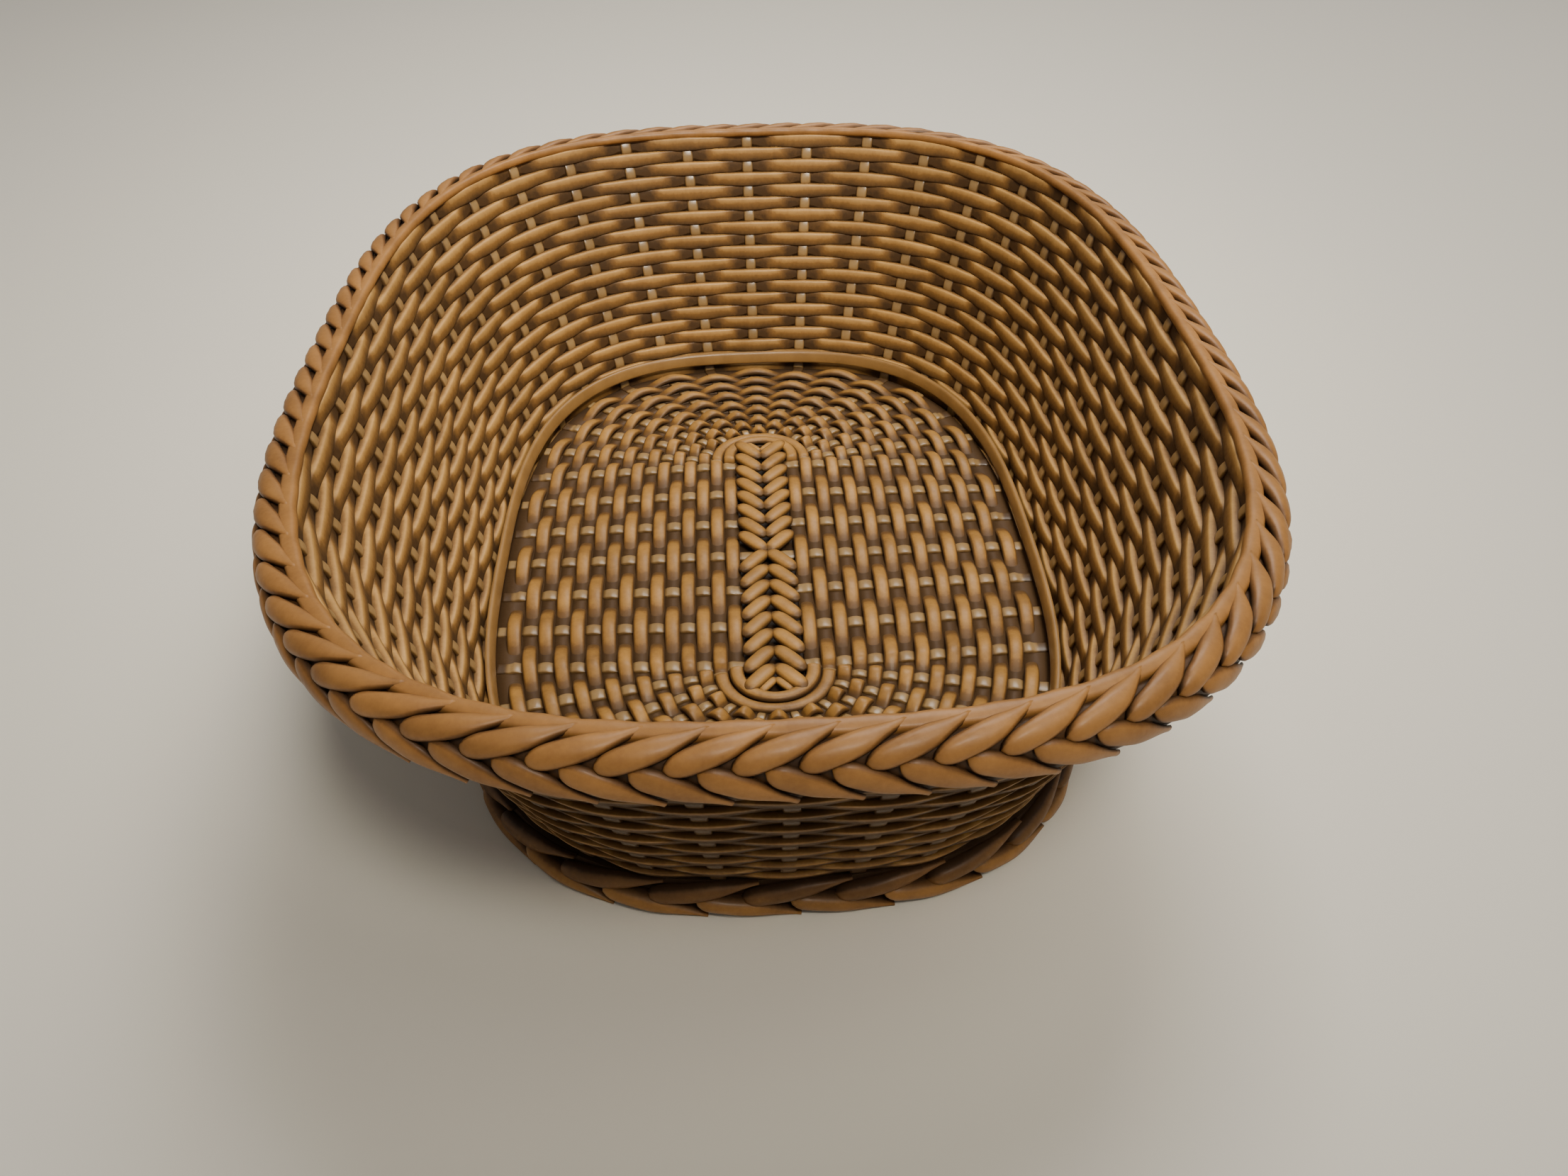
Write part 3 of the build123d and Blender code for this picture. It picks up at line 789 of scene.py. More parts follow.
def settle(piece: bpy.types.Object, nodes: Sequence[str]) -> None:
    """Ties a finished piece to the basket.

    Args:
        piece: The finished object.
        nodes: CAD nodes that it stands for.
    """
    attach(piece, "root")
    if nodes:
        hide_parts(*nodes)
    LOG.info("%s: %d faces", piece.name, len(piece.data.polygons))


# ------------------------------------------------------------------------------- the wall
@dataclass
class Wall:
    """Stakes and the weavers that pass in front of one and behind the next.

    Args:
        form: The basket's leading sizes.
        rows: Number of weavers.
        swing: How far a weaver's middle goes in and out.
        weaver_thickness: Thickness of a weaver.
        overhang: How much wider a weaver's upper edge is than its middle, as a share.
        swell: Extra height of a weaver where it shows.
        web: Thickness of the dark web of painted shade behind the weavers.
        half_gap: From a weaver's edge to the edge of its row.
        stake_width: Width of a stake.
        stake_swing: How far a stake leans towards the side where it shows.
    """

    form: Form
    rows: int = 21
    swing: float = 0.72 * MM
    weaver_thickness: float = 1.9 * MM
    overhang: float = 0.42
    swell: float = 0.50 * MM
    web: float = 0.14 * MM
    half_gap: float = 0.05 * MM
    stake_width: float = 3.6 * MM
    stake_swing: float = 0.34 * MM

    @property
    def pitch(self) -> float:
        """Height of one row."""
        return (self.form.wall_top - self.form.wall_bottom) / self.rows

    def weaver(self, row: int) -> Pattern:
        """Makes two stakes' length of one weaver.

        Args:
            row: Row number from the foot, starting at 0.

        Returns:
            The flat pattern.
        """
        steps = 28
        middle = self.form.wall_bottom + (row + 0.5) * self.pitch
        along = 0.5 + 2 * np.arange(steps + 1) / steps
        wave = np.cos(math.pi * (along + row))
        centre = self.swing * wave
        high = self.pitch / 2 - self.half_gap + self.swell / 2 * wave ** 2
        shape = section(ROUND, power=7.0)
        rings = np.empty((steps + 1, ROUND, 3))
        rings[..., 0] = along[:, None]
        lip = 1 + self.overhang * shape[:, 1]
        rings[..., 1] = centre[:, None] - self.weaver_thickness / 2 * (lip * shape[:, 0])[None, :]
        rings[..., 2] = middle + high[:, None] * shape[None, :, 1]
        # Depth behind the face that shows: 0 where the weaver is in front, 1 behind a stake
        inside = np.clip(0.5 + 0.5 * shape[:, 0], 0, 1)[None, :]
        depth = (wave[:, None] + 1) / 2
        # Antiquing and painted shade where a face goes behind a stake; the upper part, in the
        # painted shadow of the row above, darkens first
        painted_shadow_lag = 0.17 * (1 - shape[None, :, 1])
        deep = inside * smooth(0.40, 0.80, depth - painted_shadow_lag) \
            + (1 - inside) * smooth(0.40, 0.80, 1 - depth - painted_shadow_lag)
        # Painted shade under the weaver, with some antiquing; lighter along its top edge, the
        # rubbed colour together with a painted highlight
        under = smooth(0.5, 1.0, -shape[None, :, 1])
        over = smooth(0.5, 1.0, shape[None, :, 1])
        # Painted shade, darker towards the lower part of each face
        lower_painted_shade = 0.66 * smooth(-0.95, 0.6, -shape[None, :, 1])
        # The outer face gets painted shade all over
        wash_and_shade = 0.80 * deep + under * 0.35 - over * 0.22 * (1 - deep) \
            + lower_painted_shade + 0.50 * (1 - inside)
        return tube(rings, wash_and_shade, False, 2.0).joined(self.shade_web(middle))

    def shade_web(self, middle: float) -> Pattern:
        """Makes the dark web behind one row, a sheet of painted shade that closes the weave.

        Args:
            middle: Height of the row's middle.

        Returns:
            The flat pattern, as long as two stakes.
        """
        steps = 14
        corner = np.array([(1, -1), (-1, -1), (-1, 1), (1, 1)])
        rings = np.empty((steps + 1, 4, 3))
        rings[..., 0] = (0.5 + 2 * np.arange(steps + 1) / steps)[:, None]
        rings[..., 1] = self.web / 2 * corner[None, :, 0]
        rings[..., 2] = middle + self.pitch / 2 * corner[None, :, 1]
        return tube(rings[:, ::-1], np.ones((steps + 1, 4)), False, 2.0)

    def stake_pair(self) -> Pattern:
        """Makes two neighbouring stakes.

        Returns:
            The flat pattern.
        """
        form = self.form
        levels = np.linspace(form.wall_bottom, form.wall_top, self.rows * 6 + 1)
        shape = section(ROUND, power=4.0)
        both = None
        for number in (0, 1):
            row = (levels - form.wall_bottom) / self.pitch - 0.5
            wave = np.cos(math.pi * (number + row))
            half = np.array([self.stake_width / 2 / form.spacing(level) for level in levels])
            half *= 1 + 0.05 * np.abs(wave)
            rings = np.empty((len(levels), ROUND, 3))
            rings[..., 0] = number + half[:, None] * shape[None, :, 0]
            rings[..., 1] = (-self.stake_swing * wave)[:, None] \
                + form.stake_thickness / 2 * shape[None, :, 1]
            rings[..., 2] = levels[:, None]
            # Darker where a stake goes behind a weaver, antiquing with painted shade; darker at
            # its side edges; painted shade over its outer side
            inner = np.clip(0.5 - 0.5 * shape[:, 1], 0, 1)[None, :]
            seen = (wave[:, None] + 1) / 2
            hidden = inner * (1 - smooth(0.35, 0.85, seen)) \
                + (1 - inner) * (1 - smooth(0.35, 0.85, 1 - seen))
            edge = smooth(0.75, 1.0, np.abs(shape[None, :, 0]))
            wash_and_shade = 0.95 * hidden + 0.45 * edge + 0.9 * (1 - inner)
            stake = tube(rings, wash_and_shade, True, 2.0)
            both = stake if both is None else both.joined(stake)
        return both

    def build(self, layer: Layer) -> None:
        """Lays the stakes and every weaver.

        Args:
            layer: What lays patterns round the basket.
        """
        form = self.form
        rails = ("waist", "knee", "rim")
        levels = (form.wall_bottom, form.knee_level, form.wall_top)
        stakes = layer.lay("stakes", self.stake_pair(), Tone.STAKE, form.stakes // 2, rails,
                           levels, seed=7)
        settle(stakes, ["wall_stakes"])
        for row in range(self.rows):
            weaver = layer.lay(f"weaver_{row + 1:02d}", self.weaver(row), Tone.WALL,
                               form.stakes // 2, rails, levels, seed=row + 20)
            settle(weaver, [f"wall_weaver_{row + 1:02d}"])


# ------------------------------------------------------------------------------ the floor
@dataclass
class Floor:
    """Round weavers over and under flat sticks, with a plaited strip down the middle.

    Args:
        form: The basket's leading sizes.
        rings: Number of weavers.
        swing: How far a weaver's middle rises and falls.
        fill: Share of the ring spacing that a weaver takes.
        stick_width: Width of a stick.
        stick_thickness: Thickness of a stick.
        stick_rise: How far a stick rises where it shows.
        stick_reach: How far a stick goes past the last ring.
        fan_start: Where a fanned stick starts, in ring spacings from the first ring.
        cross_sticks: Sticks that run right across the floor.
        arcs: Rings that run over the fanned sticks in one smooth arc.
        web: Thickness of the dark web of painted shade under the rings.
        low_height: How far a ring's edge stands off its middle line.
    """

    form: Form
    rings: int = 15
    swing: float = 1.65 * MM
    fill: float = 0.97
    stick_width: float = 3.6 * MM
    stick_thickness: float = 1.4 * MM
    stick_rise: float = 0.45 * MM
    stick_reach: float = 4.6 * MM
    fan_start: float = 0.62
    cross_sticks: int = 7
    arcs: int = 2
    web: float = 0.4 * MM
    low_height: float = 0.72 * MM

    def crosses(self, number: int) -> bool:
        """Tells whether a stick runs right across the floor."""
        stakes = self.form.stakes
        side = (number + stakes // 4) % (stakes // 2) - stakes // 4
        return abs(side) <= self.cross_sticks // 2

    def weaver(self, ring: int) -> Pattern:
        """Makes two sticks' length of one floor weaver.

        Args:
            ring: Ring number from the centre strip, starting at 0.

        Returns:
            The flat pattern, in ring shares.
        """
        arc = ring < self.arcs
        turns = self.form.stakes if arc else 2
        steps, around = 14 * turns, 14
        along = 0.5 + turns * np.arange(steps + 1) / steps
        wave = np.cos(math.pi * (along + ring))
        if arc:
            # The first rings run over the fan of sticks at each end in one smooth arc
            side = np.abs((along + self.form.stakes / 4) % (self.form.stakes / 2)
                          - self.form.stakes / 4)
            fan = smooth(3.2, 4.2, side)
            wave = wave * (1 - fan) + (0.85 - 0.5 * ring) * fan
        lift = (1 + wave) / 2
        shape = section(around, power=2.5)
        step = 1 / (self.rings - 1)
        half = self.fill / 2 * step * (0.90 + 0.12 * lift)
        rings = np.empty((steps + 1, around, 3))
        rings[..., 0] = along[:, None]
        rings[..., 1] = ring * step - half[:, None] * shape[None, :, 0]
        top = self.low_height + 0.55 * MM * lift
        high = np.where(shape[None, :, 1] > 0, top[:, None], self.low_height)
        rings[..., 2] = self.form.floor_level + self.swing * wave[:, None] \
            + high * shape[None, :, 1]
        # Painted shade on the underside; on top, antiquing and painted shade where the ring dips
        # under a stick, and darker at its sides
        up = smooth(0.0, 0.95, shape[None, :, 1])
        wash_and_shade = (1 - up) * 0.8 + up * (1 - smooth(0.12, 0.80, lift[:, None])) * 0.85 \
            + 0.25 * smooth(0.6, 1.0, np.abs(shape[None, :, 0]))
        return tube(rings, wash_and_shade, False, turns).joined(self.shade_web(ring, turns))

    def shade_web(self, ring: int, turns: int) -> Pattern:
        """Makes the dark web under one ring, a sheet of painted shade that closes the floor.

        Args:
            ring: Ring number.
            turns: Length of the pattern, in sticks.

        Returns:
            The flat pattern, reaching to the hoop behind the last ring.
        """
        steps = 14 * turns
        step = 1 / (self.rings - 1)
        inner, outer = ring - 0.5, ring + (1.2 if ring == self.rings - 1 else 0.5)
        corner = np.array([(outer, -1), (inner, -1), (inner, 1), (outer, 1)])
        rings = np.empty((steps + 1, 4, 3))
        rings[..., 0] = (0.5 + turns * np.arange(steps + 1) / steps)[:, None]
        rings[..., 1] = step * corner[None, :, 0]
        rings[..., 2] = self.form.floor_level + self.web / 2 * corner[None, :, 1]
        return tube(rings[:, ::-1], np.ones((steps + 1, 4)), False, turns)

    def stick(self, number: int) -> Pattern:
        """Makes one floor stick, from beside the strip to the hoop.

        Args:
            number: Stick number, counted from +X.

        Returns:
            The stick in its real place.
        """
        form = self.form
        place = int(number * RAIL_POINTS / form.stakes) % RAIL_POINTS
        start, end = form.rails["first"].points[place], form.rails["last"].points[place]
        step = 1 / (self.rings - 1)
        length = float(np.linalg.norm(end - start))
        beyond = 1 + self.stick_reach / length
        crossing = self.crosses(number)
        inner = -form.strip_half[0] / length if crossing else self.fan_start * step
        share = np.linspace(inner, beyond, 8 * self.rings + 9)
        run = (end - start) / length
        if crossing:
            run = np.array([math.copysign(1.0, end[0] - start[0]), 0.0])
        across = np.array([-run[1], run[0]])
        centre = start[None, :] + (end - start)[None, :] * share[:, None]
        if crossing:
            centre[:, 1] = np.interp(share, [0, 1], [start[1], end[1]])
        wave = np.cos(math.pi * (number + share / step))
        inside = smooth(-0.02, 0.03, share) * (1 - smooth(1.0, 1.02, share))
        half = np.full(len(share), self.stick_width / 2)
        if not crossing:
            near = form.rails["first"].points
            gap = RAIL_POINTS // form.stakes // 2
            room = float(np.linalg.norm(near[(place + gap) % RAIL_POINTS]
                                        - near[(place - gap) % RAIL_POINTS]))
            tip = min(0.31 * room, self.stick_width / 2)
            half = tip + (self.stick_width / 2 - tip) * np.clip(share * 1.6, 0, 1)
        shape = section(ROUND, power=5.0)
        rings = np.empty((len(share), ROUND, 3))
        spread = half[:, None] * (1 + 0.05 * np.clip(-wave, 0, 1))[:, None] * shape[None, :, 0]
        rings[..., :2] = centre[:, None, :] + spread[..., None] * across[None, None, :]
        rings[..., 2] = form.floor_level - (self.stick_rise * wave * inside)[:, None] \
            + self.stick_thickness / 2 * shape[None, :, 1]
        # Antiquing and painted shade where the stick goes under a ring, darker at its side edges,
        # and painted shade on its underside
        seen = (1 - wave[:, None]) / 2
        wash_and_shade = 0.95 * (1 - smooth(0.3, 0.8, seen)) \
            + 0.30 * smooth(0.8, 1.0, np.abs(shape[None, :, 0])) \
            + 0.5 * smooth(0.3, 1.0, -shape[None, :, 1])
        return tube(rings[:, ::-1], wash_and_shade[:, ::-1], True)

    def build(self, layer: Layer) -> None:
        """Lays the rings and the sticks.

        Args:
            layer: What lays patterns round the basket.
        """
        form = self.form
        for ring in range(self.rings):
            pattern = self.weaver(ring)
            weaver = layer.lay(f"floor_ring_{ring + 1:02d}", pattern, Tone.FLOOR,
                               form.stakes // int(pattern.repeat), ("first", "last", "last"),
                               (0.0, 1.0, 1.0), Lay.FLOOR, seed=ring + 60)
            settle(weaver, [f"floor_weaver_{ring + 1:02d}"])
        crossing, fanned = None, None
        for number in range(form.stakes):
            stick = self.stick(number)
            if self.crosses(number):
                crossing = stick if crossing is None else crossing.joined(stick)
            else:
                fanned = stick if fanned is None else fanned.joined(stick)
        for name, pattern, node in (("cross_sticks", crossing, "floor_cross_sticks"),
                                    ("fan_sticks", fanned, "floor_fan_sticks")):
            piece = plain_piece(name, pattern, Tone.STAKE)
            settle(piece, [node])


def plain_piece(name: str, pattern: Pattern, tone: Tone) -> bpy.types.Object:
    """Makes an object of a pattern that is already in its real place.

    Args:
        name: Name of the object.
        pattern: The points and faces.
        tone: Its finish.

    Returns:
        The smooth-shaded object.
    """
    mesh = pattern.mesh(name)
    mesh.polygons.foreach_set("use_smooth", [True] * len(mesh.polygons))
    mesh.materials.append(material(tone))
    return put(name, mesh)


@dataclass
class Strip:
    """The plaited strip down the middle of the floor: two columns of slanting rods.

    Args:
        form: The basket's leading sizes.
        rods: Rods in each half of a column.
        rod_width: Width of a rod.
        rod_height: Height of a rod.
        slant: Degrees that a rod leans from straight across.
        end_gap: From the strip's end to the middle of its short pair of rods.
        end_size: Size of those rods against the others.
        side_gap: From a rod's end to the edges of its column, together.
        tips: Extra length of a rod, for its round tips.
        seat: Height of a rod's underside above the floor sticks' middle.
    """

    form: Form
    rods: int = 8
    rod_width: float = 4.7 * MM
    rod_height: float = 2.8 * MM
    slant: float = 50.0
    end_gap: float = 2.6 * MM
    end_size: float = 0.56
    side_gap: float = 1.2 * MM
    tips: float = 1.6 * MM
    seat: float = 0.9 * MM

    def rod(self, length: float) -> bpy.types.Mesh:
        """Makes one rod lying along X.

        Args:
            length: Its length, tip to tip.

        Returns:
            The rod's mesh.
        """
        steps, around = 14, 14
        share = (1 - np.cos(np.linspace(0, math.pi, steps))) / 2
        share = np.clip(share, 0.012, 0.988)
        fat = (1 - np.abs(2 * share - 1) ** 3.2) ** 0.5
        shape = section(around, power=2.3)
        rings = np.empty((steps, around, 3))
        rings[..., 0] = ((share - 0.5) * length)[:, None]
        rings[..., 1] = -self.rod_width / 2 * fat[:, None] * shape[None, :, 0]
        rings[..., 2] = self.rod_height * (0.42 + 0.5 * fat[:, None] * shape[None, :, 1])
        # Painted shade on the lower half of a rod, and darker towards its thin tips
        wash_and_shade = 0.9 * (1 - smooth(-0.1, 0.85, shape[None, :, 1])) \
            + 0.75 * (1 - smooth(0.45, 0.95, fat[:, None]))
        return tube(rings, wash_and_shade, True).mesh("rod")

    def places(self, side: int) -> list[tuple[float, float, float, float]]:
        """Lists the rods of one column.

        Args:
            side: -1 for the left column, 1 for the right one.

        Returns:
            X, Y, turn in radians and size of each rod.
        """
        half_width, half_length = self.form.strip_half
        pitch = half_length / (self.rods + 0.35)
        found = []
        for half in (1, -1):
            for step in range(self.rods):
                y = half * (0.66 + step) * pitch
                lean = math.radians(self.slant) * side * half
                found.append((side * half_width * 0.50, y, lean, 1.0))
            # A short pair closes each end of the strip
            end = half * (half_length - self.end_gap)
            found.append((side * half_width * 0.26, end, lean, self.end_size))
        return found

    def tree(self, rod: bpy.types.Object) -> bpy.types.NodeTree:
        """Builds the tree that sets a rod on every marked point.

        Args:
            rod: The object of one rod.

        Returns:
            The geometry node tree.
        """
        wiring = new_group("set_rods", "GeometryNodeTree",
                           [("Points", "NodeSocketGeometry", None),
                            ("Rod", "NodeSocketObject", None), ("Seed", "NodeSocketInt", 3),
                            ("Finish", "NodeSocketMaterial", None)],
                           [("Geometry", "NodeSocketGeometry")])
        given = wiring.add("NodeGroupInput").outputs
        turn = wiring.add("GeometryNodeInputNamedAttribute", {"Name": "turn"},
                          data_type="FLOAT").outputs[0]
        size = wiring.add("GeometryNodeInputNamedAttribute", {"Name": "size"},
                          data_type="FLOAT").outputs[0]
        rotation = wiring.add("ShaderNodeCombineXYZ", {2: turn}).outputs[0]
        source = wiring.add("GeometryNodeObjectInfo", {0: given["Rod"]}).outputs["Geometry"]
        copies = wiring.add("GeometryNodeInstanceOnPoints",
                            {"Points": given["Points"], "Instance": source,
                             "Rotation": rotation, "Scale": size})
        real = wiring.tinted(copies, given["Seed"])
        shaded = wiring.add("GeometryNodeSetShadeSmooth", {"Geometry": real.outputs[0]})
        dressed = wiring.add("GeometryNodeSetMaterial",
                             {"Geometry": shaded.outputs[0], "Material": given["Finish"]})
        wiring.feed(wiring.add("NodeGroupOutput"), {0: dressed.outputs[0]})
        return wiring.tree

    def build(self) -> None:
        """Sets both columns of rods."""
        half_width = self.form.strip_half[0]
        across = half_width - self.side_gap
        length = across / math.cos(math.radians(self.slant)) + self.tips
        rod = bpy.data.objects.new("rod", self.rod(length))
        tree = self.tree(rod)
        base = self.form.floor_level + self.seat
        for side, name in ((-1, "left"), (1, "right")):
            places = self.places(side)
            mesh = bpy.data.meshes.new(f"rods_{name}")
            mesh.from_pydata([(x, y, base) for x, y, _, _ in places], [], [])
            for key, column in (("turn", 2), ("size", 3)):
                mark = mesh.attributes.new(key, "FLOAT", "POINT")
                mark.data.foreach_set("value", [place[column] for place in places])
            values = {"Rod": rod, "Seed": 5 + side, "Finish": material(Tone.PLAIT)}
            piece = grow(put(f"rods_{name}", mesh), tree, values, f"plait_{name}")
            settle(piece, [f"centre_plait_{name}"])
        bpy.data.objects.remove(rod)


# ------------------------------------------------------------------------------- the hoop
@dataclass
class Hoop:
    """The smooth band between the floor and the wall.

    Args:
        form: The basket's leading sizes.
        segments: Pieces that the band is laid in.
    """

    form: Form
    segments: int = 240

    def build(self, layer: Layer) -> None:
        """Lays the band.

        Args:
            layer: What lays patterns round the basket.
        """
        form = self.form
        low, high = form.knee_level, form.hoop_top
        middle = (low + high) / 2
        shape = section(ROUND, power=4.0)
        height = (high - low) / 2 * shape[:, 1]
        lean = form.hoop_lean * (0.5 + 0.5 * shape[:, 1])
        ring = np.stack([np.zeros(ROUND), form.hoop_thickness / 2 * (1 - shape[:, 0]) + lean,
                         middle + height], axis=1)
        rings = np.stack([ring, ring + np.array([1.0, 0, 0])])
        # Painted shade along the band's lower edge
        wash_and_shade = np.tile(0.6 * smooth(0.5, 1.0, -shape[:, 1]), (2, 1))
        band = layer.lay("plain_hoop", tube(rings, wash_and_shade, False), Tone.HOOP, self.segments,
                         ("hoop", "hoop", "hoop"))
        settle(band, ["floor_hoop"])


# ----------------------------------------------------------------------------- the borders
@dataclass
class Border:
    """A two-row plait of leaf-shaped strands round a rail.

    Args:
        name: Name of the border.
        tone: Its finish.
        rail: Name of the rail that it follows.
        count: Strands in a row.
        level: Height that the section's downs are measured from.
        path: Out and down of the ground under one row, from the middle line to the edge.
        width: Width of a strand across its own direction.
        height: How far a strand stands up from the ground.
        advance: How far along the border a strand's tail is from its head.
        shift: Share of a strand's pitch by which the row is moved along.
        tail: Share of a strand's height left at its tail.
        full: Share of a strand's length where it starts to taper.
        point: Share of a strand's width that the taper takes off.
        blunt: Share of a strand's length in which its head reaches full width.
        shade: Extra painted shade over the whole row.
        reverse: True where the row's ground runs down from the middle line.
    """

    name: str
    tone: Tone
    rail: str
    count: int
    level: float
    path: tuple[tuple[float, float], ...]
    width: float
    height: float
    advance: float
    shift: float = 0.0
    tail: float = 0.35
    full: float = 0.5
    point: float = 0.8
    blunt: float = 0.16
    shade: float = 0.0
    reverse: bool = False

    def ground(self, reach: np.ndarray) -> tuple[np.ndarray, np.ndarray]:
        """Finds places on the ground and the directions off it.

        Args:
            reach: Distances along the path from the middle line.

        Returns:
            Places and unit directions, as out and up.
        """
        path = np.array([(out, -down) for out, down in self.path])
        dense = np.linspace(0, len(path) - 1, 200)
        # A smooth line through the path's points
        spread = np.stack([self.spline(path[:, k], dense) for k in (0, 1)], axis=1)
        run = np.r_[0, np.cumsum(np.linalg.norm(np.diff(spread, axis=0), axis=1))]
        place = np.stack([np.interp(reach, run, spread[:, k]) for k in (0, 1)], axis=-1)
        slope = np.gradient(spread, run, axis=0)
        along = np.stack([np.interp(reach, run, slope[:, k]) for k in (0, 1)], axis=-1)
        along /= np.linalg.norm(along, axis=-1, keepdims=True)
        sign = -1.0 if self.reverse else 1.0
        off = sign * np.stack([along[..., 1], -along[..., 0]], axis=-1)
        beyond = np.clip(reach, None, 0) + np.clip(reach - run[-1], 0, None)
        return place + along * beyond[..., None], off

    @staticmethod
    def spline(values: np.ndarray, places: np.ndarray) -> np.ndarray:
        """Reads a smooth line through evenly spaced values at the given places."""
        last = len(values) - 1
        index = np.clip(places.astype(int), 0, last - 1)
        part = places - index
        slope = np.gradient(values)
        a, b = values[index], values[index + 1]
        ma, mb = slope[index], slope[index + 1]
        p2, p3 = part ** 2, part ** 3
        return ((2 * p3 - 3 * p2 + 1) * a + (p3 - 2 * p2 + part) * ma
                + (3 * p2 - 2 * p3) * b + (p3 - p2) * mb)

    @property
    def span(self) -> float:
        """Length of the row's ground, across the border."""
        path = np.array(self.path)
        return float(np.linalg.norm(np.diff(path, axis=0), axis=1).sum())

    def strand(self, pitch: float) -> Pattern:
        """Makes one strand of the row.

        Args:
            pitch: Distance from strand to strand.

        Returns:
            The flat pattern, one repeat long.
        """
        steps, around = 20, 14
        share = np.linspace(0, 1, steps) ** 1.15
        inset = 0.06 * self.width
        start, end = inset, self.span - inset
        # The strand leaves the middle line flat and turns towards the edge
        x = self.advance * share
        q = start + (end - start) * (0.75 * share + 0.25 * share ** 2)
        dx, dq = np.gradient(x), np.gradient(q)
        size = np.hypot(dx, dq)
        ex, eq = -dq / size, dx / size
        head = np.sqrt(np.clip(1 - (1 - np.clip(share / self.blunt, 0, 1)) ** 2, 0.004, 1))
        taper = 1 - self.point * smooth(self.full, 1.0, share)
        wide = self.width / 2 * head * taper
        tall = self.height * (head ** 0.8) * (1 - (1 - self.tail) * smooth(0.35, 1.0, share))
        shape = section(around, power=2.4)
        side = shape[None, :, 0] * wide[:, None]
        rise = tall[:, None] * shape[None, :, 1]
        rise = np.where(rise < 0, rise * 0.5, rise)
        reach = q[:, None] + side * eq[:, None]
        place, off = self.ground(reach)
        rings = np.empty((steps, around, 3))
        rings[..., 0] = (x[:, None] + side * ex[:, None]) / pitch
        rings[..., 1] = place[..., 0] + off[..., 0] * rise
        rings[..., 2] = self.level + place[..., 1] + off[..., 1] * rise
        # Antiquing and painted shade down the strand's sides to the ground, darker still at its
        # head, and the row's extra painted shade
        wash_and_shade = 1.05 * (1 - smooth(0.05, 0.93, shape[None, :, 1])) \
            + 0.75 * (1 - smooth(0.0, 0.14, share))[:, None] \
            * (1 - smooth(0.2, 1.0, shape[None, :, 1])) \
            + self.shade + np.zeros((steps, 1))
        if self.reverse:
            rings, wash_and_shade = rings[:, ::-1], wash_and_shade[:, ::-1]
        return tube(rings, wash_and_shade, True)

    def build(self, layer: Layer, extra: Pattern | None = None) -> bpy.types.Object:
        """Lays the row of strands.

        Args:
            layer: What lays patterns round the basket.
            extra: A pattern of one repeat that is laid with the strand.

        Returns:
            The laid piece.
        """
        pitch = layer.form.rails[self.rail].length / self.count
        pattern = self.strand(pitch)
        if extra is not None:
            pattern = pattern.joined(extra)
        return layer.lay(self.name, pattern, self.tone, self.count, (self.rail,) * 3,
                         shift=self.shift, seed=len(self.name))


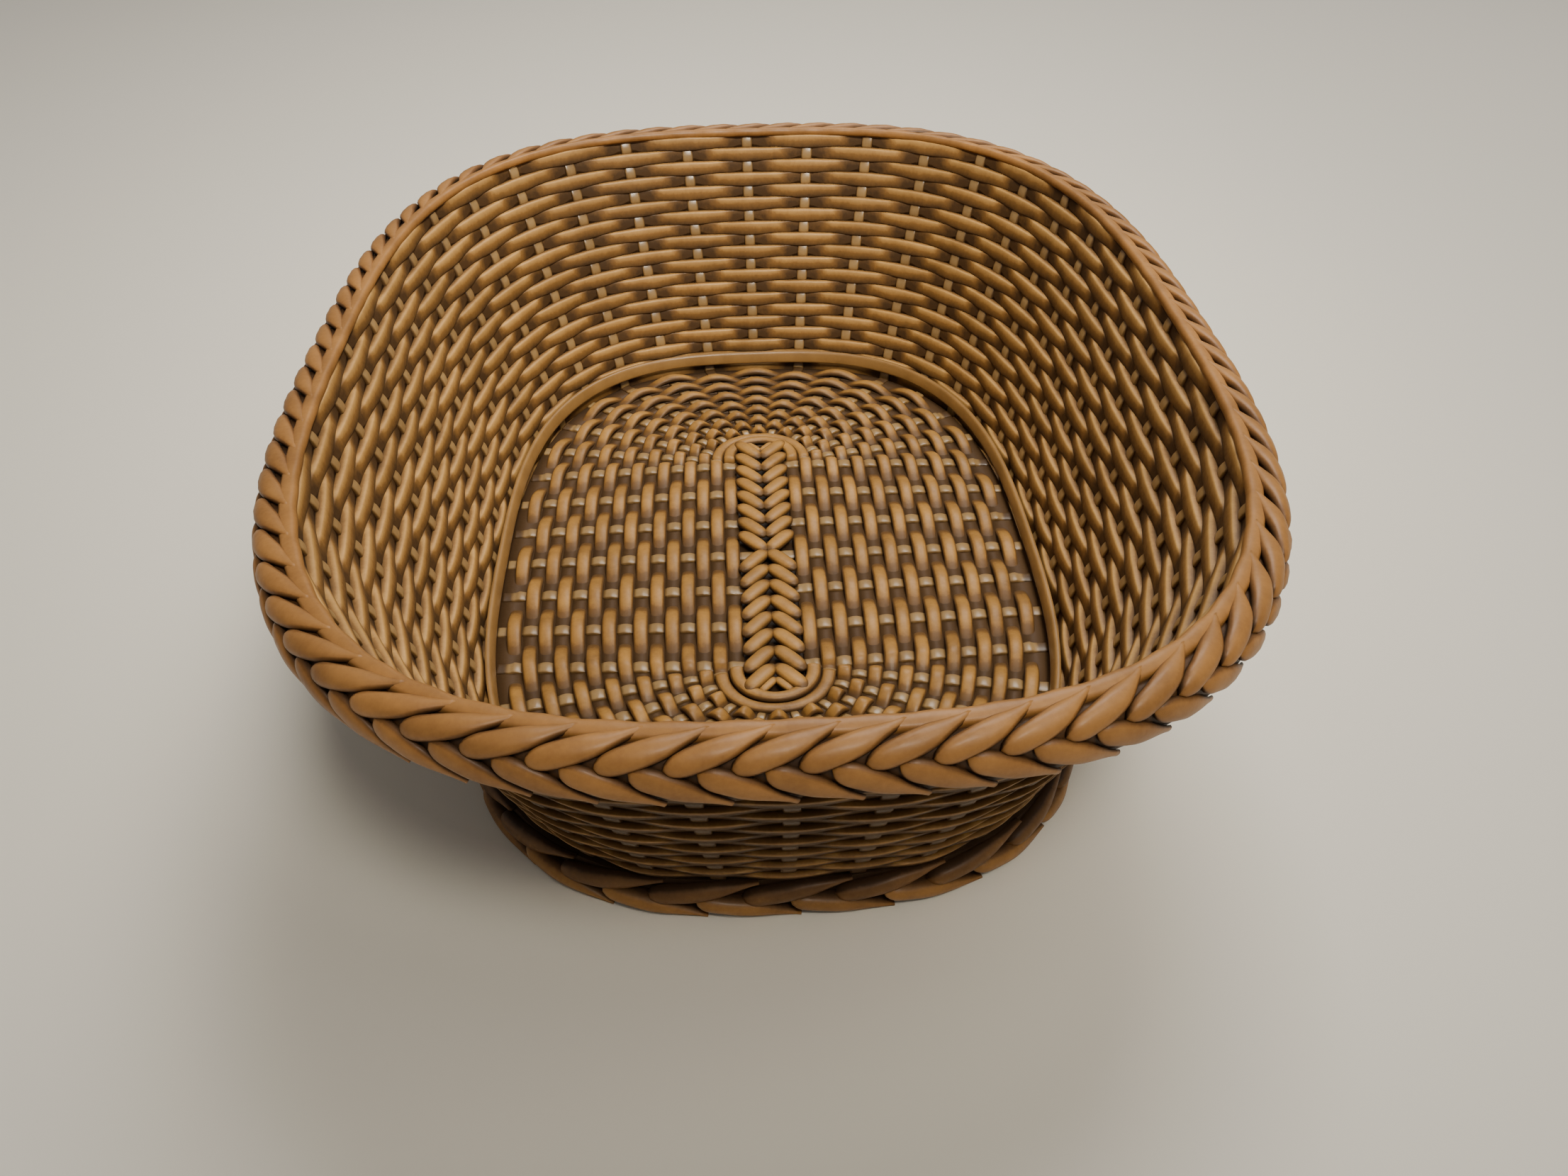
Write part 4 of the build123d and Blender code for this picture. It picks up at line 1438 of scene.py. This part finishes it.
@dataclass
class Rim:
    """The rim: two rows of strands and the smooth inner edge that the upper row runs into.

    Args:
        form: The basket's leading sizes.
        count: Strands in each row.
    """

    form: Form
    count: int = 76

    def edge(self) -> Pattern:
        """Makes one repeat of the smooth inner edge.

        Returns:
            The flat pattern.
        """
        steps, around = 8, 16
        along = np.arange(steps + 1) / steps
        wave = np.cos(2 * math.pi * (along - 0.15))
        shape = section(around, power=2.7)
        rings = np.empty((steps + 1, around, 3))
        tilt = math.radians(-14)
        wide = 1.9 * MM + 0.12 * MM * wave[:, None]
        tall = 1.45 * MM
        a, b = -wide * shape[None, :, 0], tall * shape[None, :, 1] * np.ones((steps + 1, 1))
        rings[..., 0] = along[:, None]
        rings[..., 1] = 0.35 * MM + a * math.cos(tilt) - b * math.sin(tilt)
        rings[..., 2] = self.form.top - 2.25 * MM + a * math.sin(tilt) + b * math.cos(tilt) \
            + 0.05 * MM * wave[:, None]
        # Painted shade on the band's underside, and a little darker towards its outer side
        wash_and_shade = np.tile(0.5 * smooth(0.2, 1.0, -shape[:, 1])
                       + 0.12 * smooth(0.4, 1.0, -shape[:, 0]), (steps + 1, 1))
        return tube(rings, wash_and_shade, False)

    def shade_bed(self) -> Pattern:
        """Makes one repeat of the dark bed under both rows, a sheet of painted shade that closes
        the gaps between the strands.

        Returns:
            The flat pattern.
        """
        line = MM * np.array([(-0.5, 2.9), (3.7, 2.75), (5.3, 3.75), (6.2, 5.4), (6.6, 7.6),
                              (6.5, 10.4), (5.8, 12.9)])
        back = line[::-1] + MM * np.array([-0.7, 0.6])
        loop = np.concatenate([line, back])
        steps = 4
        rings = np.empty((steps + 1, len(loop), 3))
        rings[..., 0] = np.linspace(0, 1, steps + 1)[:, None]
        rings[..., 1] = loop[:, 0]
        rings[..., 2] = self.form.top - loop[:, 1]
        return tube(rings, np.full(rings.shape[:2], 0.86), False)

    def build(self, layer: Layer) -> None:
        """Lays both rows and the edge, with the dark bed of painted shade over the core behind
        them.

        Args:
            layer: What lays patterns round the basket.
        """
        upper = Border("rim_upper_row", Tone.RIM, "rim", self.count, self.form.top,
                       ((6.6 * MM, 5.1 * MM), (5.5 * MM, 3.1 * MM), (3.7 * MM, 2.05 * MM),
                        (-0.3 * MM, 1.75 * MM)),
                       width=4.5 * MM, height=1.7 * MM, advance=18.5 * MM, tail=0.58,
                       full=0.55, point=0.66, blunt=0.22)
        lower = Border("rim_lower_row", Tone.RIM, "rim", self.count, self.form.top,
                       ((6.6 * MM, 5.1 * MM), (7.0 * MM, 7.5 * MM), (6.9 * MM, 10.4 * MM),
                        (6.1 * MM, 13.6 * MM)),
                       width=5.0 * MM, height=1.6 * MM, advance=16.5 * MM, shift=0.5,
                       tail=0.35, full=0.42, point=0.70, blunt=0.22, reverse=True)
        settle(upper.build(layer, self.edge().joined(self.shade_bed())), ["rim_plait_inner"])
        settle(lower.build(layer), ["rim_plait_outer"])


@dataclass
class Foot:
    """The foot: two rows of long strands.

    Args:
        count: Strands in each row.
        middle: Height of the line between the rows.
    """

    count: int = 30
    middle: float = 5.3 * MM

    def build(self, layer: Layer) -> None:
        """Lays both rows.

        Args:
            layer: What lays patterns round the basket.
        """
        # The upper row carries extra painted shade over all its strands
        upper = Border("foot_upper_row", Tone.FOOT, "foot", self.count, self.middle,
                       ((3.2 * MM, 0.0), (3.0 * MM, -2.6 * MM), (2.5 * MM, -5.4 * MM)),
                       width=4.6 * MM, height=2.9 * MM, advance=25.0 * MM, tail=0.5,
                       shade=0.35)
        lower = Border("foot_lower_row", Tone.FOOT, "foot", self.count, self.middle,
                       ((3.2 * MM, 0.0), (3.3 * MM, 2.4 * MM), (3.2 * MM, 5.0 * MM)),
                       width=4.5 * MM, height=3.2 * MM, advance=24.0 * MM, shift=0.5,
                       tail=0.6, reverse=True)
        settle(upper.build(layer), ["foot_plait_upper"])
        settle(lower.build(layer), ["foot_plait_lower"])


# ------------------------------------------------------------------------------ the studio
@dataclass
class Studio:
    """Pale floor, soft lights and the camera.

    Args:
        lens: Focal length in millimetres on a 36 mm wide sensor.
        place: Camera position.
        pitch: Degrees that the camera looks down.
        yaw: Degrees that it looks to the right of +Y.
        roll: Degrees that it is rolled.
        floor_half: Half size of the floor.
        sky: Strength of the even light from all round.
    """

    lens: float = 28.6
    place: tuple[float, float, float] = (-0.00885, -0.2888, 0.2417)
    pitch: float = 39.39
    yaw: float = 2.72
    roll: float = -0.49
    floor_half: float = 9.0
    sky: float = 0.22

    def camera(self) -> None:
        """Sets the camera up."""
        data = bpy.data.cameras.new("camera")
        data.lens, data.sensor_width = self.lens, 36.0
        data.clip_start, data.clip_end = 0.005, 20.0
        pitch, yaw, roll = (math.radians(a) for a in (self.pitch, self.yaw, self.roll))
        ahead = Vector((math.sin(yaw) * math.cos(pitch), math.cos(yaw) * math.cos(pitch),
                        -math.sin(pitch)))
        right = Vector((math.cos(yaw), -math.sin(yaw), 0.0))
        up = right.cross(ahead)
        across = math.cos(roll) * right + math.sin(roll) * up
        upward = -math.sin(roll) * right + math.cos(roll) * up
        turn = Matrix((across, upward, -ahead)).transposed()
        seat = put("camera", data)
        seat.matrix_world = Matrix.Translation(self.place) @ turn.to_4x4()
        bpy.context.scene.camera = seat

    def light(self, name: str, place: tuple[float, float, float], size: float, power: float,
              colour: tuple[float, float, float], spread: float = 180.0,
              aim: tuple[float, float, float] = (0.0, 0.0, 0.04)) -> None:
        """Hangs one soft light that points at the basket.

        Args:
            name: Name of the light.
            place: Where it hangs.
            size: Side of its square.
            power: Watts.
            colour: Its colour.
            spread: Degrees that its light spreads over.
            aim: Point that it faces.
        """
        data = bpy.data.lights.new(name, "AREA")
        data.spread = math.radians(spread)
        data.size, data.energy, data.color = size, power, colour
        lamp = put(name, data)
        lamp.rotation_mode = "QUATERNION"
        lamp.rotation_quaternion = (Vector(aim) - Vector(place)).to_track_quat("-Z", "Y")
        lamp.location = place

    def ground(self) -> None:
        """Lays the pale floor."""
        size = self.floor_half
        mesh = bpy.data.meshes.new("studio_floor")
        mesh.from_pydata([(-size, -size, 0), (size, -size, 0), (size, size, 0), (-size, size, 0)],
                         [], [(0, 1, 2, 3)])
        made = bpy.data.materials.new("studio_floor_paint")
        made.use_nodes = True
        shader = made.node_tree.nodes["Principled BSDF"]
        shader.inputs["Base Color"].default_value = (0.84, 0.79, 0.69, 1)
        shader.inputs["Roughness"].default_value = 0.6
        mesh.materials.append(made)
        floor = put("studio_floor", mesh)
        floor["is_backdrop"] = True

    def build(self) -> None:
        """Builds the whole studio."""
        world = bpy.data.worlds.new("studio")
        world.use_nodes = True
        sky = world.node_tree.nodes["Background"]
        sky.inputs["Color"].default_value = (1.0, 0.97, 0.92, 1)
        sky.inputs["Strength"].default_value = self.sky
        bpy.context.scene.world = world
        self.ground()
        self.light("window", (0.22, 0.55, 1.10), 0.6, 9.5, (1.0, 0.98, 0.94))
        self.light("ceiling", (0.45, -0.20, 1.05), 0.5, 2.5, (1.0, 0.94, 0.82))
        self.light("front", (0.14, -0.42, 0.75), 0.25, 0.62, (1.0, 0.93, 0.80), 46.0,
                   (-0.01, 0.15, 0.06))
        self.camera()


def main() -> None:
    """Builds the basket and the studio, in order."""
    logging.basicConfig(level=logging.INFO, format="%(message)s")
    form = Form()
    layer = Layer(form)
    Wall(form).build(layer)
    Floor(form).build(layer)
    Strip(form).build()
    Hoop(form).build(layer)
    Rim(form).build(layer)
    Foot().build(layer)
    layer.close()
    # The cores keep their CAD shape and take the near-black painted-shade finish
    for node in ("rim_core", "foot_core", "floor_core_stick"):
        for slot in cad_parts[node].material_slots:
            slot.material = material(Tone.CORE)
        LOG.info("%s: CAD shape kept, new finish", node)
    Studio().build()


if __name__ == "__main__":
    main()
